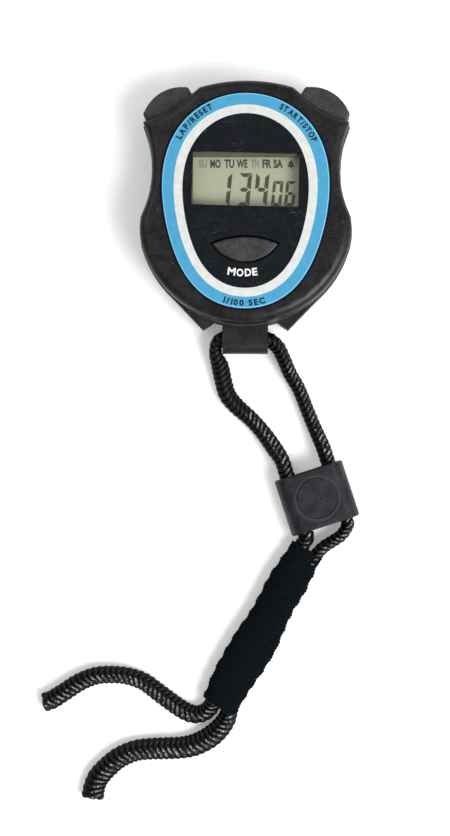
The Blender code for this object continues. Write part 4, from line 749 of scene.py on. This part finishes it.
def dress(material, *names):
    for name in names:
        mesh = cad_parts[name].data
        mesh.materials.clear()
        mesh.materials.append(material)


smooth_copy("door_cover", "battery_door", "case", rear_black)
zinc = metal("zinc_plate", (0.42, 0.40, 0.36), (0.72, 0.70, 0.64), 0.28, 0.0002, 0.00001, (1, 1, 0.2))
dress(zinc, "battery_door_screw", "case_screw_1", "case_screw_2", "case_screw_3", "case_screw_4",
      "board_screw_1", "board_screw_2", "board_screw_3")


# Battery: a round steel button cell with a rolled edge, between two bent spring-steel contacts.
# The can is nickel-plated and finely brushed; the contacts are duller and a little tinted.
dress(metal("nickel_can", (0.50, 0.50, 0.49), (0.78, 0.78, 0.76), 0.22, 0.0003, 0.00001, (0.15, 1, 1)),
      "battery_cell", "quartz_can")
dress(metal("spring_steel", (0.38, 0.37, 0.35), (0.66, 0.64, 0.60), 0.30, 0.0004, 0.00001, (1, 0.2, 1)),
      "battery_contact_plus", "battery_contact_minus", "piezo_spring")


# Circuit board: green solder mask over copper tracks on glass-fibre board.
# The tracks show as lighter lines; the chip sits under its black drop of resin.
board_green, tree, shader = new_look("board_green", (0.01, 0.12, 0.04), 0.35)
tracks = tree.nodes.new("ShaderNodeTexWave")
tracks.wave_type = "BANDS"
tracks.bands_direction = "DIAGONAL"
tracks.inputs["Scale"].default_value = 260
tracks.inputs["Distortion"].default_value = 3
feed(tree, tracks.inputs["Vector"], object_place(tree))
feed(tree, shader.inputs["Base Color"], blend_colours(tree, tracks.outputs["Fac"], (0.006, 0.075, 0.026),
                                                      (0.022, 0.19, 0.070), 0.55, 0.62))
relief(tree, shader, tracks.outputs["Fac"], 0.00003, 0.5)
dress(board_green, "circuit_board")
dress(moulded("resin_drop", (0.004, 0.004, 0.004), (0.010, 0.010, 0.011), 0.25, 0.0008, 0.00002),
      "chip_cap")


# Sounder: a thin brass disc that carries a smaller ceramic layer, heard through the back.
# One slightly stained brass finish covers both here.
dress(metal("brass_disc", (0.52, 0.34, 0.12), (0.78, 0.56, 0.24), 0.32, 0.0012, 0.00001), "piezo_disc")


# Rubber parts: two striped zebra strips that carry the display's signals and the MODE key's dome.
# The strips are silicone in thin black and pale layers; the dome is milky grey silicone.
zebra, tree, shader = new_look("zebra_rubber", (0.5, 0.45, 0.4), 0.6)
layers = tree.nodes.new("ShaderNodeTexWave")
layers.wave_type = "BANDS"
layers.bands_direction = "X"
layers.inputs["Scale"].default_value = 800
feed(tree, layers.inputs["Vector"], object_place(tree))
feed(tree, shader.inputs["Base Color"], blend_colours(tree, layers.outputs["Fac"], (0.02, 0.02, 0.02),
                                                      (0.62, 0.42, 0.36), 0.45, 0.55))
dress(zebra, "zebra_strip_upper", "zebra_strip_lower")
milky = moulded("milky_silicone", (0.30, 0.30, 0.28), (0.42, 0.42, 0.39), 0.55, 0.0006, 0.00003)
dome = smooth_copy("silicone_dome", "mode_dome", "case", milky)
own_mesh(dome)


# Push-button works: white nylon plungers behind both caps and the small switches they press.
# The plungers are smooth moulded nylon; the switches are black with a satin face.
dress(moulded("white_nylon", (0.62, 0.61, 0.57), (0.74, 0.73, 0.69), 0.42, 0.0005, 0.00002),
      "start_stop_plunger", "lap_reset_plunger")
dress(moulded("switch_black", (0.012, 0.012, 0.013), (0.03, 0.03, 0.03), 0.4, 0.0004, 0.00002),
      "start_stop_switch", "lap_reset_switch")


# Front shell: the shallow front half of the case in satin charcoal plastic.
# Its rim is rounded, its flat face carries the egg-shaped recess, and handling left a few specks.
FRONT_EDGE = (0.0098, 0.0106)
front_charcoal = moulded("front_plastic", (0.001, 0.001, 0.002), (0.016, 0.016, 0.017), 0.34,
                         0.00040, 0.00006, 0.24, 0.5)
# Painted highlight on the front shell's lower edge, along the parting line.
edge_highlight(front_charcoal, FRONT_EDGE, (0.22, 0.22, 0.22), 0.7)
smooth_copy("front_half", "front_shell", "case", front_charcoal)


# Display: a glass panel with a greenish grey reflector behind it, set in an olive-grey frame.
# Its segments are dark olive; two of the day names are off and show only faintly.
# Levels and places in mm; a digit's row is its left, right, bottom, top and bar width.
DISPLAY_LEVEL = 14.03
OLIVE_GREY = (0.400, 0.412, 0.290)
SEGMENTS = {"1": "bc", "3": "abcdg", "4": "bcfg", "0": "abcdef", "6": "acdefg"}
SEGMENT_GAP = 0.12
DIGIT_LEAN = 0.095
DIGITS = [("1", -8.4, -4.65, 2.7, 12.15, 1.15), ("3", -2.8, 0.95, 2.7, 12.15, 1.15),
          ("4", 2.1, 5.85, 2.7, 12.15, 1.15), ("0", 7.1, 10.0, 2.8, 9.9, 0.88),
          ("6", 10.8, 13.7, 2.8, 9.9, 0.88)]
DAY_ROW = 14.8
DAY_TALL = 2.5
DAY_OFF_TALL = 2.45
DAYS_ON = [("MO", -8.62, 3.0), ("TU", -4.70, 2.8), ("WE", -1.10, 3.1), ("FR", 5.95, 2.6), ("SA", 9.10, 2.7)]
DAYS_OFF = [("SU", -12.2, 2.35), ("TH", 2.60, 2.35)]
BELL_PLACE = (11.7, 13.4)
BELL_SIZE = (2.1, 2.4)
BELL = [(0, 0.2), (0.12, 0.35), (0.18, 0.72), (0.36, 0.92), (0.5, 1), (0.64, 0.92), (0.82, 0.72),
        (0.88, 0.35), (1, 0.2), (0.62, 0.2), (0.6, 0.02), (0.4, 0.02), (0.38, 0.2)]


def lcd_look(name, colour, spread):
    made, tree, shader = new_look(name, colour, 0.45, 0.25)
    low = tuple(c * (1 - spread) for c in colour)
    cloud = noise(tree, object_place(tree), 900, 4, 0.6)
    feed(tree, shader.inputs["Base Color"], blend_colours(tree, cloud, low, colour, 0.3, 0.65))
    return made


dress(lcd_look("display_glass", OLIVE_GREY, 0.05), "lcd_panel", "lcd_reflector")
dress(moulded("frame_olive", (0.075, 0.078, 0.050), (0.110, 0.114, 0.076), 0.55, 0.0004, 0.00003),
      "lcd_frame")


def digit_outlines(shown, x0, x1, y0, y1, thick):
    w, h, gap = x1 - x0, y1 - y0, SEGMENT_GAP
    middle_low, middle_high = h / 2 - thick / 2, h / 2 + thick / 2
    top = [(gap, h), (w - gap, h), (w - thick - gap, h - thick), (thick + gap, h - thick)]
    upper = [(0, h - gap), (thick, h - thick - gap), (thick, middle_high + gap), (0, h / 2 + gap)]
    bar = [(thick * 0.6, h / 2), (thick + gap, middle_high), (w - thick - gap, middle_high),
           (w - thick * 0.6, h / 2), (w - thick - gap, middle_low), (thick + gap, middle_low)]
    shapes = {"a": top, "g": bar, "f": upper, "b": [(w - x, y) for x, y in upper],
              "e": [(x, h - y) for x, y in upper], "c": [(w - x, h - y) for x, y in upper],
              "d": [(x, h - y) for x, y in top]}
    return [[(x0 + x + DIGIT_LEAN * y, y0 + y) for x, y in shapes[key]] for key in SEGMENTS[shown]]


def flat_shapes(name, outlines, level, material):
    # Thin printed shapes: each outline becomes one face that looks up.
    points, faces = [], []
    for outline in outlines:
        area = sum(a[0] * b[1] - b[0] * a[1] for a, b in zip(outline, outline[1:] + outline[:1]))
        ordered = outline if area > 0 else outline[::-1]
        faces.append(tuple(range(len(points), len(points) + len(ordered))))
        points += [(x / 1000, y / 1000, level / 1000) for x, y in ordered]
    mesh = bpy.data.meshes.new(name)
    mesh.from_pydata(points, [], faces)
    return put_in_scene(name, mesh, material)


def letter_faces(text, heavy=0.05):
    # A word's flat faces and its box, from the plain built-in letters.
    curve = bpy.data.curves.new("word", "FONT")
    curve.body = text
    curve.offset = heavy
    curve.resolution_u = 4
    made = bpy.data.objects.new("word", curve)
    bpy.context.scene.collection.objects.link(made)
    bpy.context.view_layer.update()
    graph = bpy.context.evaluated_depsgraph_get()
    mesh = bpy.data.meshes.new_from_object(made.evaluated_get(graph), depsgraph=graph)
    points = [vertex.co.copy() for vertex in mesh.vertices]
    faces = [tuple(face.vertices) for face in mesh.polygons]
    bpy.data.objects.remove(made)
    xs, ys = [p.x for p in points], [p.y for p in points]
    return points, faces, (min(xs), max(xs), min(ys), max(ys))


def set_words(name, items, level, material, heavy=0.05):
    # Each item: text, centre x, centre y, width, height (mm) and turn in degrees.
    points, faces = [], []
    for text, x, y, width, height, turn in items:
        found, flat_faces, (x0, x1, y0, y1) = letter_faces(text, heavy)
        c, s = math.cos(math.radians(turn)), math.sin(math.radians(turn))
        base = len(points)
        for p in found:
            u = ((p.x - x0) / (x1 - x0) - 0.5) * width
            v = ((p.y - y0) / (y1 - y0) - 0.5) * height
            points.append(((x + u * c - v * s) / 1000, (y + u * s + v * c) / 1000, level / 1000))
        faces += [tuple(base + i for i in face) for face in flat_faces]
    mesh = bpy.data.meshes.new(name)
    mesh.from_pydata(points, [], faces)
    for face in mesh.polygons:
        if face.normal.z < 0:
            face.flip()
    return put_in_scene(name, mesh, material)


segment_dark = lcd_look("segment_dark", (0.060, 0.063, 0.042), 0.25)
segment_faint = lcd_look("segment_faint", (0.25, 0.26, 0.19), 0.08)
digits = flat_shapes("digits", [shape for digit in DIGITS for shape in digit_outlines(*digit)],
                     DISPLAY_LEVEL, segment_dark)
bell_shape = [(BELL_PLACE[0] + BELL_SIZE[0] * x, BELL_PLACE[1] + BELL_SIZE[1] * y) for x, y in BELL]
bell = flat_shapes("alarm_sign", [bell_shape], DISPLAY_LEVEL, segment_dark)
days = set_words("days", [(day, x, DAY_ROW, wide, DAY_TALL, 0) for day, x, wide in DAYS_ON],
                 DISPLAY_LEVEL, segment_dark, 0.045)
days_off = set_words("days_off", [(day, x, DAY_ROW, wide, DAY_OFF_TALL, 0) for day, x, wide in DAYS_OFF],
                     DISPLAY_LEVEL, segment_faint)
for made in (digits, bell, days, days_off):
    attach(made, "case")


# Face lens: a clear acrylic plate, printed with a sky-blue ring, a white ring and a black field.
# The window in the field stays clear; wear has left fine hairline scratches in the gloss.
# Sizes are in mm; the window is given by its left, right, bottom and top.
LENS_HALF = 23.5
LENS_TALL = 30.55
LENS_MIDDLE = 3.75
LENS_CURVE = (1, 0.122, 0.112, -0.080)
BLUE_BAND = 3.5
WHITE_BAND = 5.95
BEVEL_SHADE_AND_HIGHLIGHT = (0.30, 0.52)
WINDOW = (-15.1, 15.0, 2.25, 17.5)
WINDOW_MIDDLE = 9.5
WINDOW_TURN = math.radians(1.4)
SCRATCH_TURN = math.radians(38)
SCRATCH_HALF = 0.004
SCRATCH_FREE = 0.56
SCRATCH_PALE = 0.22


def inside_egg(tree, x, y, inset):
    # One inside the lens's own egg outline, drawn in by the inset: an oval that swells by the curve.
    s = calc(tree, "DIVIDE", calc(tree, "SUBTRACT", y, LENS_MIDDLE / 1000), (LENS_TALL - inset) / 1000)
    bulge = 0
    for share in LENS_CURVE[::-1]:
        bulge = calc(tree, "ADD", times(tree, bulge, s), share)
    room_left = calc(tree, "MAXIMUM", calc(tree, "SUBTRACT", 1, times(tree, s, s)), 0)
    half = times(tree, calc(tree, "SQRT", room_left), bulge, (LENS_HALF - inset) / 1000)
    return calc(tree, "LESS_THAN", calc(tree, "ABSOLUTE", x), half)


acrylic, tree, shader = new_look("printed_acrylic", (0.004, 0.005, 0.007), 0.16, 0.16)
where = object_place(tree)
spot = axes(tree, where)
x, y = spot["X"], spot["Y"]
white_ring = inside_egg(tree, x, y, BLUE_BAND)
black_field = inside_egg(tree, x, y, WHITE_BAND)
ink = noise(tree, where, 500, 4, 0.6)
blue = blend_colours(tree, ink, (0.054, 0.270, 0.455), (0.068, 0.318, 0.520), 0.3, 0.7)
white = blend_colours(tree, ink, (0.53, 0.54, 0.52), (0.64, 0.65, 0.63), 0.3, 0.7)
black = blend_colours(tree, ink, (0.0035, 0.0045, 0.006), (0.007, 0.009, 0.012), 0.3, 0.7)
# Painted shade and highlight on the bevel: a dark navy rim at the lens's edge, then a light cyan line where
# the bevel catches light.
edge = pick(tree, inside_egg(tree, x, y, BEVEL_SHADE_AND_HIGHLIGHT[0]), (0.006, 0.030, 0.070, 1), (0.22, 0.56, 0.76, 1))
blue = pick(tree, inside_egg(tree, x, y, BEVEL_SHADE_AND_HIGHLIGHT[1]), edge, blue)
colour = pick(tree, black_field, pick(tree, white_ring, blue, white), black)
hair = tree.nodes.new("ShaderNodeMapping")
hair.inputs["Rotation"].default_value = (0, 0, SCRATCH_TURN)
hair.inputs["Scale"].default_value = (1, 9, 1)
feed(tree, hair.inputs["Vector"], where)
lines = noise(tree, hair.outputs["Vector"], 130, 1, 0.5, 1.5)
thin = calc(tree, "LESS_THAN", calc(tree, "ABSOLUTE", calc(tree, "SUBTRACT", lines, 0.5)), SCRATCH_HALF)
some = calc(tree, "GREATER_THAN", noise(tree, where, 160, 2), SCRATCH_FREE)
colour = pick(tree, times(tree, thin, some, SCRATCH_PALE), colour, (0.30, 0.31, 0.32, 1))
feed(tree, shader.inputs["Base Color"], colour)
feed(tree, shader.inputs["Roughness"], calc(tree, "ADD", 0.14, times(tree, ink, 0.12)))
above = calc(tree, "SUBTRACT", y, WINDOW_MIDDLE / 1000)
turned_x = calc(tree, "SUBTRACT", x, times(tree, above, math.sin(WINDOW_TURN)))
turned_y = calc(tree, "ADD", y, times(tree, x, math.sin(WINDOW_TURN)))
clear = times(tree, between(tree, turned_x, WINDOW[0] / 1000, WINDOW[1] / 1000),
              between(tree, turned_y, WINDOW[2] / 1000, WINDOW[3] / 1000))
through = tree.nodes.new("ShaderNodeBsdfTransparent")
through.inputs["Color"].default_value = (0.97, 0.98, 0.97, 1)
gloss = tree.nodes.new("ShaderNodeBsdfGlossy")
gloss.inputs["Roughness"].default_value = 0.08
sheen = tree.nodes.new("ShaderNodeMixShader")
sheen.inputs[0].default_value = 0.025
feed(tree, sheen.inputs[1], through.outputs[0])
feed(tree, sheen.inputs[2], gloss.outputs[0])
joined = tree.nodes.new("ShaderNodeMixShader")
feed(tree, joined.inputs[0], clear)
feed(tree, joined.inputs[1], shader.outputs[0])
feed(tree, joined.inputs[2], sheen.outputs[0])
output = [node for node in tree.nodes if node.type == "OUTPUT_MATERIAL"][0]
feed(tree, output.inputs["Surface"], joined.outputs[0])
smooth_copy("lens_plate", "face_lens", "case", acrylic)


# Words on the lens: plain function words, in dark navy on the blue ring and in white below the MODE key.
# The letters of the ring stand square to its curve; each row gives a word, the places of its first
# and last letters in mm, and whether their tops look out.
RING_WORDS = [("LAP/RESET", (-18.3, 21.5), (-10.1, 30.0), True),
              ("START/STOP", (9.7, 29.6), (18.9, 20.6), True),
              ("1/100 SEC", (-5.7, -24.3), (4.8, -24.1), False)]
WORD_INSET = 1.75
WORD_TALL = 1.8
LENS_TOP_LEVEL = 18.02
MODE_TALL = 2.15
LETTER_GAP = 0.16
WORD_GAP = 0.3


def egg_track(inset, count=1440):
    track = []
    for k in range(count):
        s = math.sin(math.tau * k / count)
        bulge = sum(share * s ** power for power, share in enumerate(LENS_CURVE))
        half = (LENS_HALF - inset) * bulge
        track.append((half * math.cos(math.tau * k / count), LENS_MIDDLE + (LENS_TALL - inset) * s))
    return track


def ring_word(text, first, last, outward):
    # The word's letters, spread along the ring from the first place to the last one.
    track = egg_track(WORD_INSET)
    nearest = [min(range(len(track)), key=lambda k: math.dist(track[k], end)) for end in (first, last)]
    step = -1 if outward else 1
    span = []
    k = nearest[0]
    while k != nearest[1]:
        span.append(track[k % len(track)])
        k = (k + step) % len(track)
    run = [0.0]
    for a, b in zip(span, span[1:]):
        run.append(run[-1] + math.dist(a, b))
    boxes = [letter_faces(letter)[2] if letter != " " else (0, WORD_GAP, 0, 0) for letter in text]
    widths = [(box[1] - box[0]) + LETTER_GAP for box in boxes]
    places = [sum(widths[:i]) + widths[i] / 2 for i in range(len(text))]
    scale = run[-1] / (places[-1] - places[0])
    items = []
    for letter, box, at in zip(text, boxes, places):
        if letter == " ":
            continue
        want = (at - places[0]) * scale
        i = min(range(len(run)), key=lambda j: abs(run[j] - want))
        a, b = span[max(i - 4, 0)], span[min(i + 4, len(span) - 1)]
        turn = math.degrees(math.atan2(b[1] - a[1], b[0] - a[0]))
        items.append((letter, *span[i], (box[1] - box[0]) * scale, WORD_TALL, turn))
    return items


navy = lcd_look("navy_ink", (0.004, 0.014, 0.034), 0.3)
ring_words = set_words("ring_words", [item for word in RING_WORDS for item in ring_word(*word)],
                       LENS_TOP_LEVEL, navy)
white_ink = lcd_look("white_ink", (0.75, 0.75, 0.74), 0.06)
mode_letters = [("M", -3.73, -16.24, 2.2, MODE_TALL, -7), ("O", -1.39, -16.57, 1.9, MODE_TALL, -2),
                ("D", 0.85, -16.52, 1.75, MODE_TALL, 2), ("E", 2.74, -16.3, 1.45, MODE_TALL, 7)]
mode_word = set_words("mode_word", mode_letters, LENS_TOP_LEVEL, white_ink, 0.03)
for made in (ring_words, mode_word):
    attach(made, "case")


# Keys: the MODE key in the lens and both half-moon caps on the crest, moulded in dark grey plastic.
# Their grain is coarser than the shell's and their grey a little paler.
key_grey = moulded("key_plastic", (0.010, 0.010, 0.011), (0.044, 0.044, 0.045), 0.5,
                   0.00050, 0.00018, 0.35, 0.3)
smooth_copy("mode_key", "mode_button", "mode", key_grey)
smooth_copy("lap_reset_cap", "lap_reset_button", "lap_reset", key_grey)
smooth_copy("start_stop_cap", "start_stop_button", "start_stop", key_grey)
